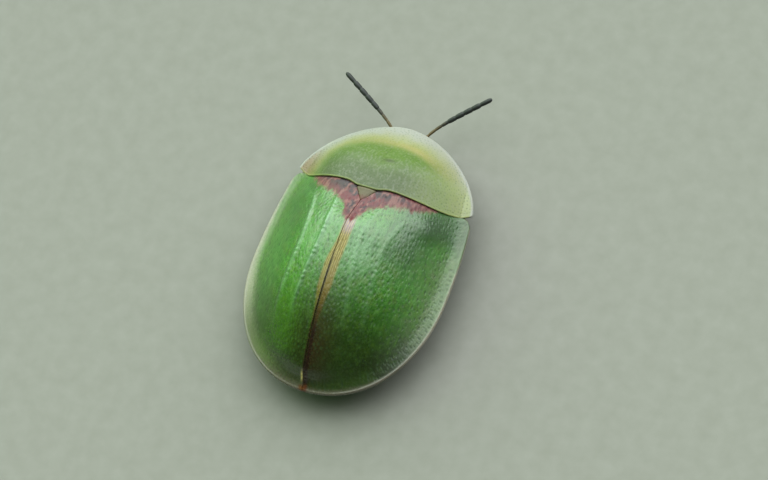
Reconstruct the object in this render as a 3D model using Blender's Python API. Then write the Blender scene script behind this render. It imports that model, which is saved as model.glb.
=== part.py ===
"""A green tortoise beetle at life size, standing on its six feet.

Driving dimensions are in millimetres, in the body's own frame: x to the
beetle's left, y from the front edge of the pronotum (0) back to the tail,
and z up from the plane of the shell's rim. add_part turns them to metres.
"""
import math

import bmesh
import bpy
from mathutils import Vector

MM = 0.001

# Whole animal
BODY_LENGTH = 7.50
RIM_HEIGHT = 0.80
FRONT_TO_CENTRE = 3.02
SEAM = 0.02
SHELL_THICKNESS = 0.36
RIM_HALF_THICKNESS = 0.06
CREASE_WIDTH = 0.40
SLOPE_STEP = 0.02
STEEPEST_WALL = 2.2

# Outline of the elytra, two superellipses that meet at the widest place
ELYTRA_WIDTH = 5.28
WIDEST_Y = 4.28
FRONT_TAPER = 5.87
OUTLINE_POWER = 2.11
SHOULDER_X = 2.15
SHOULDER_Y = 2.34
SHOULDER_SHARE = 0.06

# Dome of the elytra
ELYTRON_PIVOT_Y = 2.7
DOME_HEIGHT = 1.96
TOP_Y = 3.45
DOME_END_Y = 7.35
DOME_FOOT = 0.30
REAR_FALL = (1.8, 0.6)
SIDE_FALL = 0.82
BASE_SIDE_FALL = 0.98
BASE_FALL_Y = 2.9
BASE_FALL_LENGTH = 0.9
FRONT_REACH = 7.0
FLANGE_HEIGHT = 0.29
FLANGE_REAR_HEIGHT = 0.40
FLANGE_RISE_Y = (4.8, 6.4)
FLANGE_WIDTH = 0.62
SCUTELLAR_DIP = 0.42
DIP_START_Y = 3.6
DIP_LENGTH = 1.15
DIP_WIDTH = 1.3
SOFTENING = 0.13
SOFTENING_POINTS = 8

# Pronotum
PRONOTUM_WIDTH = 4.86
CORNER_Y = 1.81
SIDE_POWER = 1.84
FRONT_POWER = 1.45
ROUND_POWER = 1.78
HIND_Y = 2.23
HIND_LOBE = 0.09
HIND_LOBE_HALF_WIDTH = 0.42
HIND_LOBE_POWER = 6
HIND_CORNER_POWER = 4.5
PRONOTUM_FLANGE = 0.22
PRONOTUM_RADIUS = 2.0
HIND_LIP = 0.015
HIND_LIP_LENGTH = 0.5
FRONT_ARCH = 0.04
FRONT_ARCH_WIDTH = 0.95
FRONT_ARCH_LENGTH = 1.20

# Scutellum
SCUTELLUM_HALF_WIDTH = 0.27
SCUTELLUM_LENGTH = 0.36
SCUTELLUM_TAPER = 0.85
SCUTELLUM_RISE = 0.006
SCUTELLUM_THICKNESS = 0.288

# Trunk under the shell
BODY_GAP = 0.05
VENTER_Z = -0.03
KEEL_DEPTH = 0.18
KEEL_HALF_WIDTH = 0.26
PROTHORAX_Y = (1.26, 2.20)
THORAX_Y = (2.23, 4.00)
ABDOMEN_Y = (4.03, 6.60)
TRUNK_HALF_WIDTH = 1.72
PROTHORAX_HALF_WIDTH = 1.20
ABDOMEN_TAPER = (4.60, 2.10, 2.3)

# Head
HEAD_CENTRE = (0.0, 0.93, -0.18)
HEAD_RADII = (0.55, 0.30, 0.34)
HEAD_SIDE_X = 0.44
EYE_RADII = (0.14, 0.17, 0.22)
EYE_Y = 0.95
EYE_Z = -0.14
MOUTH_CENTRE = (0.0, 0.88, -0.61)
MOUTH_RADII = (0.26, 0.19, 0.13)
MOUTH_TOP = 0.065

# Antennae: base, a pull towards which they bend, and tip, for each side
ANTENNAE = {
    "left": ((0.26, 0.62, -0.27), (0.40, 0.02, -0.22), (2.21, -0.99, 0.20)),
    "right": ((-0.24, 0.62, -0.27), (-0.27, -0.14, -0.22), (-1.75, -1.36, 0.15)),
}
ANTENNA_BEND = 2.2
ANTENNA_STALK = (0.22, 0.17)
ANTENNA_CLUB = (0.24, 0.22)
ANTENNA_CLUB_START = 0.45
ANTENNA_SWELL = 0.2
ANTENNA_END_SHARE = 0.6
ANTENNA_SEGMENTS = 11

# Legs on the left side: hip, knee, ankle and toe
LEGS = {
    "front": ((0.52, 1.76, -0.25), (1.28, 1.46, -0.25), (1.48, 1.20, -0.48), (1.42, 0.74, -0.62)),
    "middle": ((0.54, 2.75, -0.25), (1.62, 2.92, -0.25), (2.04, 3.22, -0.48), (2.24, 3.80, -0.62)),
    "hind": ((0.54, 3.62, -0.25), (1.55, 4.34, -0.25), (1.92, 5.02, -0.48), (1.94, 5.66, -0.62)),
}
FEMUR_SIZE = (0.24, 0.20)
TIBIA_SIZE = (0.20, 0.20)
TARSUS_SIZE = (0.23, 0.18)
JOINT_GAP = 0.015
LIMB_SIDES = 8
LIMB_ROOT_REACH = 0.75
LIMB_ROOT_SHARE = 0.5
LIMB_CUT_SHARE = 0.9
LIMB_TIP_REACH = 0.6
LIMB_TIP_SHARES = (0.55, 0.6)
TARSUS_SQUARENESS = 3.0
SOLE_DEPTH = 0.11
CURVE_STEP = 0.01

# Fineness of the grids
ELYTRON_GRID = (26, 14)
BASE_FADE_POWER = 3
PRONOTUM_GRID = (28, 9)
TRUNK_GRID = (10, 12)
SCUTELLUM_GRID = (3, 4)
HEAD_GRID = (16, 10)
EYE_GRID = (12, 8)
MOUTH_GRID = (12, 6)

MERGE = 1e-4
SHARP_ANGLE = math.radians(40)
BODY_FRAME = "body_frame"


def smooth_step(value):
    value = min(max(value, 0.0), 1.0)
    return value * value * (3 - 2 * value)


def rounded_top(flat, domed):
    """The higher of the rim's flange and the dome, with a rounded crease."""
    crease = 0.5 * (math.hypot(flat - domed, CREASE_WIDTH) - CREASE_WIDTH)
    return RIM_HALF_THICKNESS + 0.5 * (flat + domed) + crease


def half_width(y, inset=0.0):
    """Half the width of the elytra's outline at y, drawn in by inset."""
    side = ELYTRA_WIDTH / 2 - inset
    reach = BODY_LENGTH - WIDEST_Y - inset if y > WIDEST_Y else FRONT_TAPER
    along = min(abs(y - WIDEST_Y) / reach, 1.0)
    return side * (1 - along**OUTLINE_POWER) ** (1 / OUTLINE_POWER)


def rim_distance(x, y):
    """How far inside the elytra's outline a point lies, near enough."""
    reach = BODY_LENGTH - WIDEST_Y if y > WIDEST_Y else FRONT_TAPER
    across = (2 * abs(x) / ELYTRA_WIDTH) ** OUTLINE_POWER
    along = (abs(y - WIDEST_Y) / reach) ** OUTLINE_POWER
    share = (across + along) ** (1 / OUTLINE_POWER)
    sideways = across / max(across + along, 1e-6)
    rearward = BODY_LENGTH - WIDEST_Y
    return (1 - share) * (rearward + (ELYTRA_WIDTH / 2 - rearward) * sideways)


def flange(distance, height):
    part = min(max(distance / FLANGE_WIDTH, 0.0), 1.0)
    return height * part * (2 - part)


def dome(x, y):
    """The elytra's dome, carried on forwards under the pronotum's own shape."""
    if y > TOP_Y:
        part = min((y - TOP_Y) / (DOME_END_Y - TOP_Y), 1.0)
        middle = DOME_HEIGHT * (1 - part ** REAR_FALL[0]) ** REAR_FALL[1]
    else:
        middle = DOME_HEIGHT * math.sqrt(1 - ((TOP_Y - y) / FRONT_REACH) ** 2)
    dip = smooth_step((DIP_START_Y - y) / DIP_LENGTH) * math.exp(-((x / DIP_WIDTH) ** 2))
    foot = max(half_width(y, DOME_FOOT), 1e-6)
    across = max(1 - (x / foot) ** 2, 0.0)
    towards_base = smooth_step((BASE_FALL_Y - y) / BASE_FALL_LENGTH)
    fall = SIDE_FALL + (BASE_SIDE_FALL - SIDE_FALL) * towards_base
    return (middle - SCUTELLAR_DIP * dip) * across**fall


def sharp_elytra_height(x, y):
    rearward = smooth_step((y - FLANGE_RISE_Y[0]) / (FLANGE_RISE_Y[1] - FLANGE_RISE_Y[0]))
    height = FLANGE_HEIGHT + (FLANGE_REAR_HEIGHT - FLANGE_HEIGHT) * rearward
    return rounded_top(flange(rim_distance(x, y), height), dome(x, y))


def elytra_height(x, y):
    """The elytra's height, averaged over a small disc so that the dome's foot has no hard line."""
    heights = [sharp_elytra_height(x, y)] * 2
    for index in range(SOFTENING_POINTS):
        turn = 2 * math.pi * index / SOFTENING_POINTS
        for reach in (0.5 * SOFTENING, SOFTENING):
            spot = (x + reach * math.cos(turn), y + reach * math.sin(turn))
            heights.append(sharp_elytra_height(*spot))
    return sum(heights) / len(heights)


def hind_margin(x):
    """The pronotum's hind edge: a low blunt middle lobe and drawn-in corners."""
    lobe = HIND_LOBE / (1 + (x / HIND_LOBE_HALF_WIDTH) ** HIND_LOBE_POWER)
    side = min(2 * abs(x) / PRONOTUM_WIDTH, 1.0)
    return HIND_Y + lobe - (HIND_Y - CORNER_Y) * side**HIND_CORNER_POWER


def pronotum_share(x, y):
    """1 on the pronotum's front and side edge, 0 over its middle."""
    side = min(2 * abs(x) / PRONOTUM_WIDTH, 1.0)
    front = max(CORNER_Y - y, 0.0) / CORNER_Y
    return (side**SIDE_POWER + front**FRONT_POWER) ** (1 / ROUND_POWER)


def pronotum_height(x, y):
    inside = max(1 - pronotum_share(x, y), 0.0)
    run = max(1 - (2 * abs(x) / PRONOTUM_WIDTH) ** (SIDE_POWER / ROUND_POWER), 1e-6)
    rise = math.sin(0.5 * math.pi * min(inside / run, 1.0))
    return rounded_top(flange(inside * PRONOTUM_RADIUS, PRONOTUM_FLANGE), dome(x, y) * rise)


def underside(height, x, y):
    """The shell's inner face, or the flat underside of its rim."""
    slope_x = (height(x + SLOPE_STEP, y) - height(x - SLOPE_STEP, y)) / (2 * SLOPE_STEP)
    slope_y = (height(x, y + SLOPE_STEP) - height(x, y - SLOPE_STEP)) / (2 * SLOPE_STEP)
    drop = SHELL_THICKNESS * min(math.sqrt(1 + slope_x**2 + slope_y**2), STEEPEST_WALL)
    return max(height(x, y) - drop, -RIM_HALF_THICKNESS)


def material(name, colour, roughness, metallic=0.0):
    made = bpy.data.materials.new(name)
    made.use_nodes = True
    shader = made.node_tree.nodes["Principled BSDF"]
    shader.inputs["Base Color"].default_value = (*colour, 1.0)
    shader.inputs["Roughness"].default_value = roughness
    shader.inputs["Metallic"].default_value = metallic
    made.diffuse_color = (*colour, 1.0)
    return made


def add_part(name, bm, finish, pivot):
    """Make the body in bm an object whose origin is at pivot."""
    bmesh.ops.remove_doubles(bm, verts=bm.verts, dist=MERGE)
    bmesh.ops.dissolve_degenerate(bm, edges=bm.edges, dist=MERGE)
    bmesh.ops.recalc_face_normals(bm, faces=bm.faces)
    for vert in bm.verts:
        vert.co = (vert.co - Vector(pivot)) * MM
    mesh = bpy.data.meshes.new(name)
    bm.to_mesh(mesh)
    bm.free()
    mesh.materials.append(finish)
    mesh.shade_smooth()
    mesh.set_sharp_from_angle(angle=SHARP_ANGLE)
    part = bpy.data.objects.new(name, mesh)
    bpy.context.scene.collection.objects.link(part)
    part.location = Vector(pivot) * MM
    part.parent = bpy.data.objects[BODY_FRAME]


def sheet_body(grid, plan, top, bottom):
    """A closed body over the unit square: plan gives x and y, top and bottom z."""
    rows, columns = grid
    bm = bmesh.new()
    bmesh.ops.create_grid(bm, x_segments=rows, y_segments=columns, size=0.5)
    for vert in bm.verts:
        x, y = plan(vert.co.x + 0.5, vert.co.y + 0.5)
        vert.co = (x, y, top(x, y))
    made = bmesh.ops.extrude_face_region(bm, geom=bm.faces[:], use_keep_orig=True)
    for vert in (item for item in made["geom"] if isinstance(item, bmesh.types.BMVert)):
        vert.co.z = bottom(vert.co.x, vert.co.y)
    return bm


def elytron_plan(side):
    shoulder_start = -math.asin(((WIDEST_Y - SHOULDER_Y) / FRONT_TAPER) ** (OUTLINE_POWER / 2))

    def outline(along):
        if along < SHOULDER_SHARE:
            turn = 0.5 * math.pi * (0.5 + 0.5 * along / SHOULDER_SHARE)
            inner_y = hind_margin(SHOULDER_X) + 2 * SEAM
            x = SHOULDER_X + (half_width(SHOULDER_Y) - SHOULDER_X) * math.sin(turn)
            return x, SHOULDER_Y - (SHOULDER_Y - inner_y) * math.cos(turn)
        turn = (along - SHOULDER_SHARE) / (1 - SHOULDER_SHARE)
        turn = shoulder_start + (0.5 * math.pi - shoulder_start) * turn
        power = 2 / OUTLINE_POWER
        reach = BODY_LENGTH - WIDEST_Y if turn > 0 else FRONT_TAPER
        y = WIDEST_Y + math.copysign(reach * abs(math.sin(turn)) ** power, turn)
        x = ELYTRA_WIDTH / 2 * max(math.cos(turn), 0.0) ** power
        return max(x, SEAM), y

    def base(across):
        corner = outline(0.0)
        inner = SCUTELLUM_HALF_WIDTH + SEAM
        x = inner + (corner[0] - inner) * across
        y = hind_margin(x) + 2 * SEAM
        if x > SHOULDER_X:
            turn = math.asin((x - SHOULDER_X) / (half_width(SHOULDER_Y) - SHOULDER_X))
            y = SHOULDER_Y - (SHOULDER_Y - hind_margin(SHOULDER_X) - 2 * SEAM) * math.cos(turn)
        return x, y

    def suture(along):
        front = base(0.0)[1]
        y = front + (BODY_LENGTH - front) * along
        notch = max(1 - (y - front) / SCUTELLUM_LENGTH, 0.0)
        return SEAM + SCUTELLUM_HALF_WIDTH * notch, y

    def plan(u, v):
        inner, outer, edge = suture(u), outline(u), base(v)
        ends = (base(0.0), base(1.0))
        fade = (1 - u) ** BASE_FADE_POWER
        x = inner[0] + (outer[0] - inner[0]) * v
        y = inner[1] + (outer[1] - inner[1]) * v
        x += fade * (edge[0] - ends[0][0] - (ends[1][0] - ends[0][0]) * v)
        y += fade * (edge[1] - ends[0][1] - (ends[1][1] - ends[0][1]) * v)
        return side * x, y

    return plan


def pronotum_plan(u, v):
    turn = math.pi * u
    cosine = math.cos(turn)
    x_front = PRONOTUM_WIDTH / 2 * math.copysign(abs(cosine) ** (2 / SIDE_POWER), cosine)
    y_front = CORNER_Y * (1 - abs(math.sin(turn)) ** (2 / FRONT_POWER))
    x_hind = PRONOTUM_WIDTH / 2 * cosine
    x = x_front + (x_hind - x_front) * v
    return x, y_front + (hind_margin(x_hind) - y_front) * v


def front_arch(x, y):
    """The low arch over the head and the antennae."""
    fade = smooth_step(1 - y / FRONT_ARCH_LENGTH)
    return FRONT_ARCH * fade * math.exp(-((x / FRONT_ARCH_WIDTH) ** 2))


def pronotum_top(x, y):
    lip = HIND_LIP * smooth_step(1 - (hind_margin(x) - y) / HIND_LIP_LENGTH)
    return pronotum_height(x, y) + lip + front_arch(x, y)


def pronotum_underside(x, y):
    return underside(pronotum_height, x, y) + front_arch(x, y)


def build_shell(finish):
    for name, side in (("left", 1), ("right", -1)):
        bm = sheet_body(
            ELYTRON_GRID,
            elytron_plan(side),
            elytra_height,
            lambda x, y: underside(elytra_height, x, y),
        )
        add_part(f"elytron_{name}", bm, finish["elytra"], (side * SEAM, ELYTRON_PIVOT_Y, 0.0))
    bm = sheet_body(
        PRONOTUM_GRID,
        pronotum_plan,
        pronotum_top,
        pronotum_underside,
    )
    add_part("pronotum", bm, finish["pronotum"], (0.0, HIND_Y, 0.0))


def build_scutellum(finish):
    front = hind_margin(SCUTELLUM_HALF_WIDTH) + 2 * SEAM

    def plan(u, v):
        y = front + (SCUTELLUM_LENGTH - 2 * SEAM) * u
        width = SCUTELLUM_HALF_WIDTH * (1 - SCUTELLUM_TAPER * u)
        return width * (2 * v - 1), y

    bm = sheet_body(
        SCUTELLUM_GRID,
        plan,
        lambda x, y: elytra_height(x, y) + SCUTELLUM_RISE,
        lambda x, y: elytra_height(x, y) - SCUTELLUM_THICKNESS,
    )
    add_part("scutellum", bm, finish["scutellum"], (0.0, front, elytra_height(0.0, front)))


def keel(x):
    return VENTER_Z - KEEL_DEPTH * max(1 - (x / KEEL_HALF_WIDTH) ** 2, 0.0)


def build_trunk(finish):
    def segment(name, span, width, height, shade):
        def plan(u, v):
            y = span[0] + (span[1] - span[0]) * u
            return width(y) * (2 * v - 1), y

        def top(x, y):
            return underside(height, x, y) - BODY_GAP

        bm = sheet_body(TRUNK_GRID, plan, top, lambda x, y: keel(x))
        add_part(name, bm, finish[shade], (0.0, span[0], 0.0))

    def abdomen_width(y):
        start, length, power = ABDOMEN_TAPER
        along = max(y - start, 0.0) / length
        return TRUNK_HALF_WIDTH * (1 - along**power) ** (1 / power)

    segment("prothorax", PROTHORAX_Y, lambda y: PROTHORAX_HALF_WIDTH, pronotum_height, "trunk")
    segment("thorax", THORAX_Y, lambda y: TRUNK_HALF_WIDTH, elytra_height, "trunk")
    segment("abdomen", ABDOMEN_Y, abdomen_width, elytra_height, "trunk")


def ball(centre, radii, grid):
    bm = bmesh.new()
    bmesh.ops.create_uvsphere(bm, u_segments=grid[0], v_segments=grid[1], radius=1.0)
    for vert in bm.verts:
        for axis in range(3):
            vert.co[axis] = centre[axis] + radii[axis] * vert.co[axis]
    return bm


def build_head(finish):
    bm = ball(HEAD_CENTRE, HEAD_RADII, HEAD_GRID)
    for vert in bm.verts:
        vert.co.x = min(max(vert.co.x, -HEAD_SIDE_X), HEAD_SIDE_X)
    add_part("head", bm, finish["head"], HEAD_CENTRE)
    for name, side in (("left", 1), ("right", -1)):
        centre = (side * (HEAD_SIDE_X + SEAM), EYE_Y, EYE_Z)
        bm = ball(centre, EYE_RADII, EYE_GRID)
        for vert in bm.verts:
            vert.co.x = side * max(side * vert.co.x, HEAD_SIDE_X + SEAM)
        add_part(f"eye_{name}", bm, finish["eye"], centre)
    bm = ball(MOUTH_CENTRE, MOUTH_RADII, MOUTH_GRID)
    for vert in bm.verts:
        vert.co.z = min(vert.co.z, MOUTH_CENTRE[2] + MOUTH_TOP)
    add_part("mouthparts", bm, finish["mouth"], MOUTH_CENTRE)


def tube(rings):
    """A closed body through rings of points, with flat ends."""
    bm = bmesh.new()
    loops = [[bm.verts.new(point) for point in ring] for ring in rings]
    for near, far in zip(loops, loops[1:]):
        for index in range(len(near)):
            after = (index + 1) % len(near)
            bm.faces.new((near[index], near[after], far[after], far[index]))
    bm.faces.new(loops[0][::-1])
    bm.faces.new(loops[-1])
    return bm


def ring(centre, direction, half_sizes, plane=None, squareness=2.0):
    """An oval of points round a limb, slid along it onto a cutting plane."""
    direction = direction.normalized()
    side = direction.cross(Vector((0, 0, 1))).normalized()
    up = side.cross(direction)
    points = []
    for index in range(LIMB_SIDES):
        turn = 2 * math.pi * (index + 0.5) / LIMB_SIDES
        cosine, sine = math.cos(turn), math.sin(turn)
        power = 2 / squareness
        across = half_sizes[0] * math.copysign(abs(cosine) ** power, cosine)
        above = half_sizes[1] * math.copysign(abs(sine) ** power, sine)
        point = centre + side * across + up * above
        if plane:
            point += direction * ((plane[0] - point).dot(plane[1]) / direction.dot(plane[1]))
        points.append(point)
    return points


def limb_segment(start, end, sizes, cut_start, cut_end, squareness=2.0):
    """Rings from start to end; an end with no cut is rounded off."""
    direction = end - start
    cut_sizes = (LIMB_CUT_SHARE * sizes[0], LIMB_CUT_SHARE * sizes[1])
    rings = []
    if cut_start is None:
        root = start - LIMB_ROOT_REACH * sizes[0] * direction.normalized()
        root_sizes = (LIMB_ROOT_SHARE * sizes[0], LIMB_ROOT_SHARE * sizes[1])
        rings.append(ring(root, direction, root_sizes, None, squareness))
        rings.append(ring(start, direction, sizes, None, squareness))
    else:
        rings.append(ring(start, direction, cut_sizes, cut_start, squareness))
    rings.append(ring(start + 0.5 * direction, direction, sizes, None, squareness))
    if cut_end is None:
        rings.append(ring(end, direction, sizes, None, squareness))
        tip = end + LIMB_TIP_REACH * sizes[0] * direction.normalized()
        tip_sizes = (LIMB_TIP_SHARES[0] * sizes[0], LIMB_TIP_SHARES[1] * sizes[1])
        rings.append(ring(tip, direction, tip_sizes, None, squareness))
    else:
        rings.append(ring(end, direction, cut_sizes, cut_end, squareness))
    return rings


def mitre(before, joint, after):
    """The plane that halves the bend at a joint."""
    return (joint, ((joint - before).normalized() + (after - joint).normalized()).normalized())


def shifted(plane, distance):
    return (plane[0] + plane[1] * distance, plane[1])


def build_legs(finish):
    for pair, joints in LEGS.items():
        for name, side in (("left", 1), ("right", -1)):
            hip, knee, ankle, toe = (Vector((side * x, y, z)) for x, y, z in joints)
            knee_cut = mitre(hip, knee, ankle)
            ankle_cut = mitre(knee, ankle, toe)
            femur = limb_segment(hip, knee, FEMUR_SIZE, None, shifted(knee_cut, -JOINT_GAP))
            tibia = limb_segment(knee, ankle, TIBIA_SIZE,
                                 shifted(knee_cut, JOINT_GAP), shifted(ankle_cut, -JOINT_GAP))
            tarsus = limb_segment(ankle, toe, TARSUS_SIZE, shifted(ankle_cut, JOINT_GAP), None,
                                  TARSUS_SQUARENESS)
            for loop in tarsus:
                for point in loop:
                    if point.z < -RIM_HEIGHT + SOLE_DEPTH:
                        point.z = -RIM_HEIGHT
            add_part(f"femur_{pair}_{name}", tube(femur), finish["femur"], hip)
            add_part(f"tibia_{pair}_{name}", tube(tibia), finish["tibia"], knee)
            add_part(f"tarsus_{pair}_{name}", tube(tarsus), finish["tarsus"], ankle)


def bent_line(base, pull, tip, part):
    """A point on the curve from base to tip that leans towards pull."""
    weights = ((1 - part) ** 2, 2 * part * (1 - part) * ANTENNA_BEND, part**2)
    whole = sum(weights)
    return (base * weights[0] + pull * weights[1] + tip * weights[2]) / whole


def build_antennae(finish):
    for name, (base, pull, tip) in ANTENNAE.items():
        base, pull, tip = Vector(base), Vector(pull), Vector(tip)
        rings = []
        for index in range(ANTENNA_SEGMENTS + 1):
            part = index / ANTENNA_SEGMENTS
            centre = bent_line(base, pull, tip, part)
            direction = bent_line(base, pull, tip, part + CURVE_STEP) - centre
            swell = smooth_step((part - ANTENNA_CLUB_START) / ANTENNA_SWELL)
            end = ANTENNA_END_SHARE if index in (0, ANTENNA_SEGMENTS) else 1.0
            sizes = [end * (a + (b - a) * swell) for a, b in zip(ANTENNA_STALK, ANTENNA_CLUB)]
            rings.append(ring(centre, direction, sizes))
        add_part(f"antenna_{name}", tube(rings), finish["antenna"], base)


def build():
    for thing in list(bpy.data.objects):
        bpy.data.objects.remove(thing, do_unlink=True)
    body_frame = bpy.data.objects.new(BODY_FRAME, None)
    body_frame.location = (0.0, -FRONT_TO_CENTRE * MM, RIM_HEIGHT * MM)
    bpy.context.scene.collection.objects.link(body_frame)
    finish = {
        "elytra": material("elytra_green", (0.13, 0.33, 0.07), 0.35),
        "pronotum": material("pronotum_yellow_green", (0.28, 0.40, 0.13), 0.40),
        "scutellum": material("scutellum_olive_brown", (0.22, 0.16, 0.08), 0.40),
        "trunk": material("underside_black", (0.03, 0.03, 0.02), 0.45),
        "head": material("head_black", (0.04, 0.04, 0.03), 0.40),
        "eye": material("eye_black", (0.01, 0.01, 0.01), 0.15),
        "mouth": material("mouthparts_brown", (0.20, 0.12, 0.04), 0.45),
        "antenna": material("antenna_grey_black", (0.05, 0.06, 0.05), 0.55),
        "femur": material("femur_dark_to_green", (0.22, 0.30, 0.10), 0.45),
        "tibia": material("tibia_yellow_green", (0.40, 0.45, 0.14), 0.45),
        "tarsus": material("tarsus_yellow_brown", (0.36, 0.32, 0.12), 0.55),
    }
    build_shell(finish)
    build_scutellum(finish)
    build_trunk(finish)
    build_head(finish)
    build_antennae(finish)
    build_legs(finish)
    bpy.context.view_layer.update()


build()
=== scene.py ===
import math

import bmesh
import bpy
import numpy as np
from mathutils import Matrix, Vector
from mathutils.kdtree import KDTree


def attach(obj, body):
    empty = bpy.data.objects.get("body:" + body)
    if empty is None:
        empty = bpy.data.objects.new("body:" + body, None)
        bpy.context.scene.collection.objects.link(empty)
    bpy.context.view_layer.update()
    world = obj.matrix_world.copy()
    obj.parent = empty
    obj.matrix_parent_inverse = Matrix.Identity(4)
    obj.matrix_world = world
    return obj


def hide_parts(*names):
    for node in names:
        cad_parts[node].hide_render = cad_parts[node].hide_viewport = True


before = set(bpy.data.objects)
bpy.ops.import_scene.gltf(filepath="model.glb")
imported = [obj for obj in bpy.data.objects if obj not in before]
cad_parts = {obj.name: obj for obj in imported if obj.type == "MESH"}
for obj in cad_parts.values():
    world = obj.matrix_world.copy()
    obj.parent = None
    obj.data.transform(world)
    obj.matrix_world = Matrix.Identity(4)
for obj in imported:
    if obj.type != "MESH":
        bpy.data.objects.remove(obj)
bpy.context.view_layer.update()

bl_info = {
    "name": "Green tortoise beetle",
    "version": (1, 0, 0),
    "blender": (4, 5, 0),
    "location": "View3D > Sidebar > Beetle",
    "description": "Grows a life-size tortoise beetle on its fixed frame, with floor, light and camera",
    "category": "Object",
}

# Lengths in this file are in millimetres in the body's own frame: x to the beetle's left, y from the
# front edge of the pronotum back to the tail, z up from the plane of the shell's rim.
MM = 0.001
FRONT_TO_CENTRE = 3.02
RIM_HEIGHT = 0.80
WELD = 1e-6

# Outline and dome of the elytra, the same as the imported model's
BODY_LENGTH = 7.50
ELYTRA_WIDTH = 5.28
WIDEST_Y = 4.28
FRONT_TAPER = 5.87
OUTLINE_POWER = 2.11
SHOULDER_X = 2.15
SHOULDER_Y = 2.34
SHOULDER_SHARE = 0.06
TAIL_SPLIT = math.radians(48)
DOME_HEIGHT = 1.96
TOP_Y = 3.45
DOME_END_Y = 7.35
DOME_FOOT = 0.30
REAR_FALL = (1.8, 0.6)
SIDE_FALL = 0.82
BASE_SIDE_FALL = 0.98
BASE_FALL_Y = 2.9
BASE_FALL_LENGTH = 0.9
FRONT_REACH = 7.0
FLANGE_HEIGHT = 0.29
FLANGE_REAR_HEIGHT = 0.40
FLANGE_RISE_Y = (4.8, 6.4)
FLANGE_WIDTH = 0.62
SCUTELLAR_DIP = 0.42
DIP_START_Y = 3.6
DIP_LENGTH = 1.15
DIP_WIDTH = 1.3
RIM_HALF_THICKNESS = 0.06
CREASE_WIDTH = 0.40
SOFTENING = 0.13
SOFTENING_POINTS = 8

# Pronotum
PRONOTUM_WIDTH = 4.86
CORNER_Y = 1.81
SIDE_POWER = 1.84
FRONT_POWER = 1.45
ROUND_POWER = 1.78
FRONT_SPLIT = math.radians(35)
HIND_Y = 2.23
HIND_CORNER_POWER = 4.5
HIND_LOBE = 0.09
HIND_LOBE_HALF_WIDTH = 0.42
HIND_LOBE_POWER = 6
PRONOTUM_FLANGE = 0.22
PRONOTUM_RADIUS = 2.0
HIND_LIP = 0.015
HIND_LIP_LENGTH = 0.5
FRONT_ARCH = 0.04
FRONT_ARCH_WIDTH = 0.95
FRONT_ARCH_LENGTH = 1.20
DISC_CENTRE_Y = 2.3
DISC_RADII = (2.0, 1.67)
DISC_SHIFT = 0.10
DISC_DEPTH = 1.7
# The front arc of the disc is brighter on this side, as a painted highlight
BRIGHT_ARC_X = -0.55
SMUDGE_AT = (-0.22, 1.40)
SMUDGE_SIZE = (0.17, 0.06)
CORNER_SHARES = {"left": 0.75, "right": 0.12}

# Scutellum: where it narrows behind the pronotum's hind margin, and how far it reaches under it
SCUTELLUM_HALF_WIDTH = 0.27
SCUTELLUM_LENGTH = 0.36
SCUTELLUM_SHOULDER = 0.04
SCUTELLUM_TUCK = 0.06

# Rear edge of the purple band behind the pronotum: distance from the seam, and y
BAND_X = (0.0, 0.10, 0.20, 0.30, 0.50, 0.75, 1.05, 1.42, 1.58, 1.72, 1.90)
BAND_Y = (3.44, 3.46, 3.28, 3.02, 2.82, 2.69, 2.62, 2.45, 2.31, 2.18, 1.90)

# Raised lines of the elytra: their distance from the seam as a cubic of y behind the dome's top
INNER_COSTA = (-0.0352, 0.1341, -0.0486, 0.5121)
OUTER_COSTA = (-0.0357, 0.1535, -0.1405, 1.1177)
COSTA_HALF_WIDTH = 0.06
OUTER_COSTA_SHARE = 0.7
COSTA_START_Y = (2.6, 3.0)
COSTA_END_Y = (6.4, 4.5)

# Pits: drawn out along the body by the squash, and left off the seam and the border
PIT_SQUASH = 0.5
PITTED_RIM = 0.26
PITTED_SEAM = 0.10

# The clear border's cells lie in rows at these distances from the edge, drawn out towards it
CELL_ROWS = (0.13, 0.25, 0.37)
CELL_SQUASH = 0.55
CELL_RADIUS = 0.040

# The pale strip beside the seam lies to the right of it, further in front than behind
STRIP_OFFSET = (0.03, 0.10)
STRIP_TURN_Y = (3.9, 4.6)
LONE_SPOT = (2.10, 2.90)
# Where a painted glint lies near the tail
TAIL_GLINT = (0.06, 7.20)

# Low swellings of an elytron: its shoulder, as far from the seam and at that y, its edge and its seam
SHOULDER_BUMP_AT = (1.72, 2.78)
SHOULDER_BUMP_RADIUS = 0.30
SHOULDER_BUMP_HEIGHT = 0.05
EDGE_BEAD_WIDTH = 0.025
EDGE_BEAD_HEIGHT = 0.008
SEAM_RIDGE_WIDTH = 0.075
SEAM_RIDGE_HEIGHT = 0.015

# The painted shade darkens and the painted sheen lightens a lengthwise stripe of about this half width
STRIPE_HALF_WIDTH = 0.45
PAINTED_SHADE_SEAM = 1.5

# How strongly the left (1) and right (-1) elytron show their marks, and the painted sheen's place from the
# seam
# Painted shade and painted sheen differ between the sides to follow how the light falls on each
MARKS = {
    1: {"costa": 1.0, "callus": 0.25, "bloom": 0.6, "bloom_seam": 0.45, "brown": 0.3},
    -1: {"costa": 0.4, "callus": 0.65, "bloom": 1.0, "bloom_seam": 0.6, "brown": 1.0},
}

# Grid cells of the plates, their spans along and across, and the roundness of their four edges
ELYTRON_CELLS = (320, 220)
ELYTRON_SPANS = (5.2, 2.4)
ELYTRON_EDGES = (0.06, 0.05, 0.008, 0.05)
PRONOTUM_CELLS = (340, 150)
PRONOTUM_SPANS = (4.6, 2.0)
PRONOTUM_EDGES = (0.04, 0.04, 0.04, 0.03)
SCUTELLUM_CELLS = (48, 40)
SCUTELLUM_SPANS = (0.4, 0.3)
SCUTELLUM_EDGES = (0.03, 0.03, 0.03, 0.03)
TRUNK_EDGES = (0.10, 0.10, 0.10, 0.10)

# Rings that close a plate from below, as shares of half its width
UNDER_RINGS = (0.15, 0.35, 0.6, 0.8, 1.0)

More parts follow.
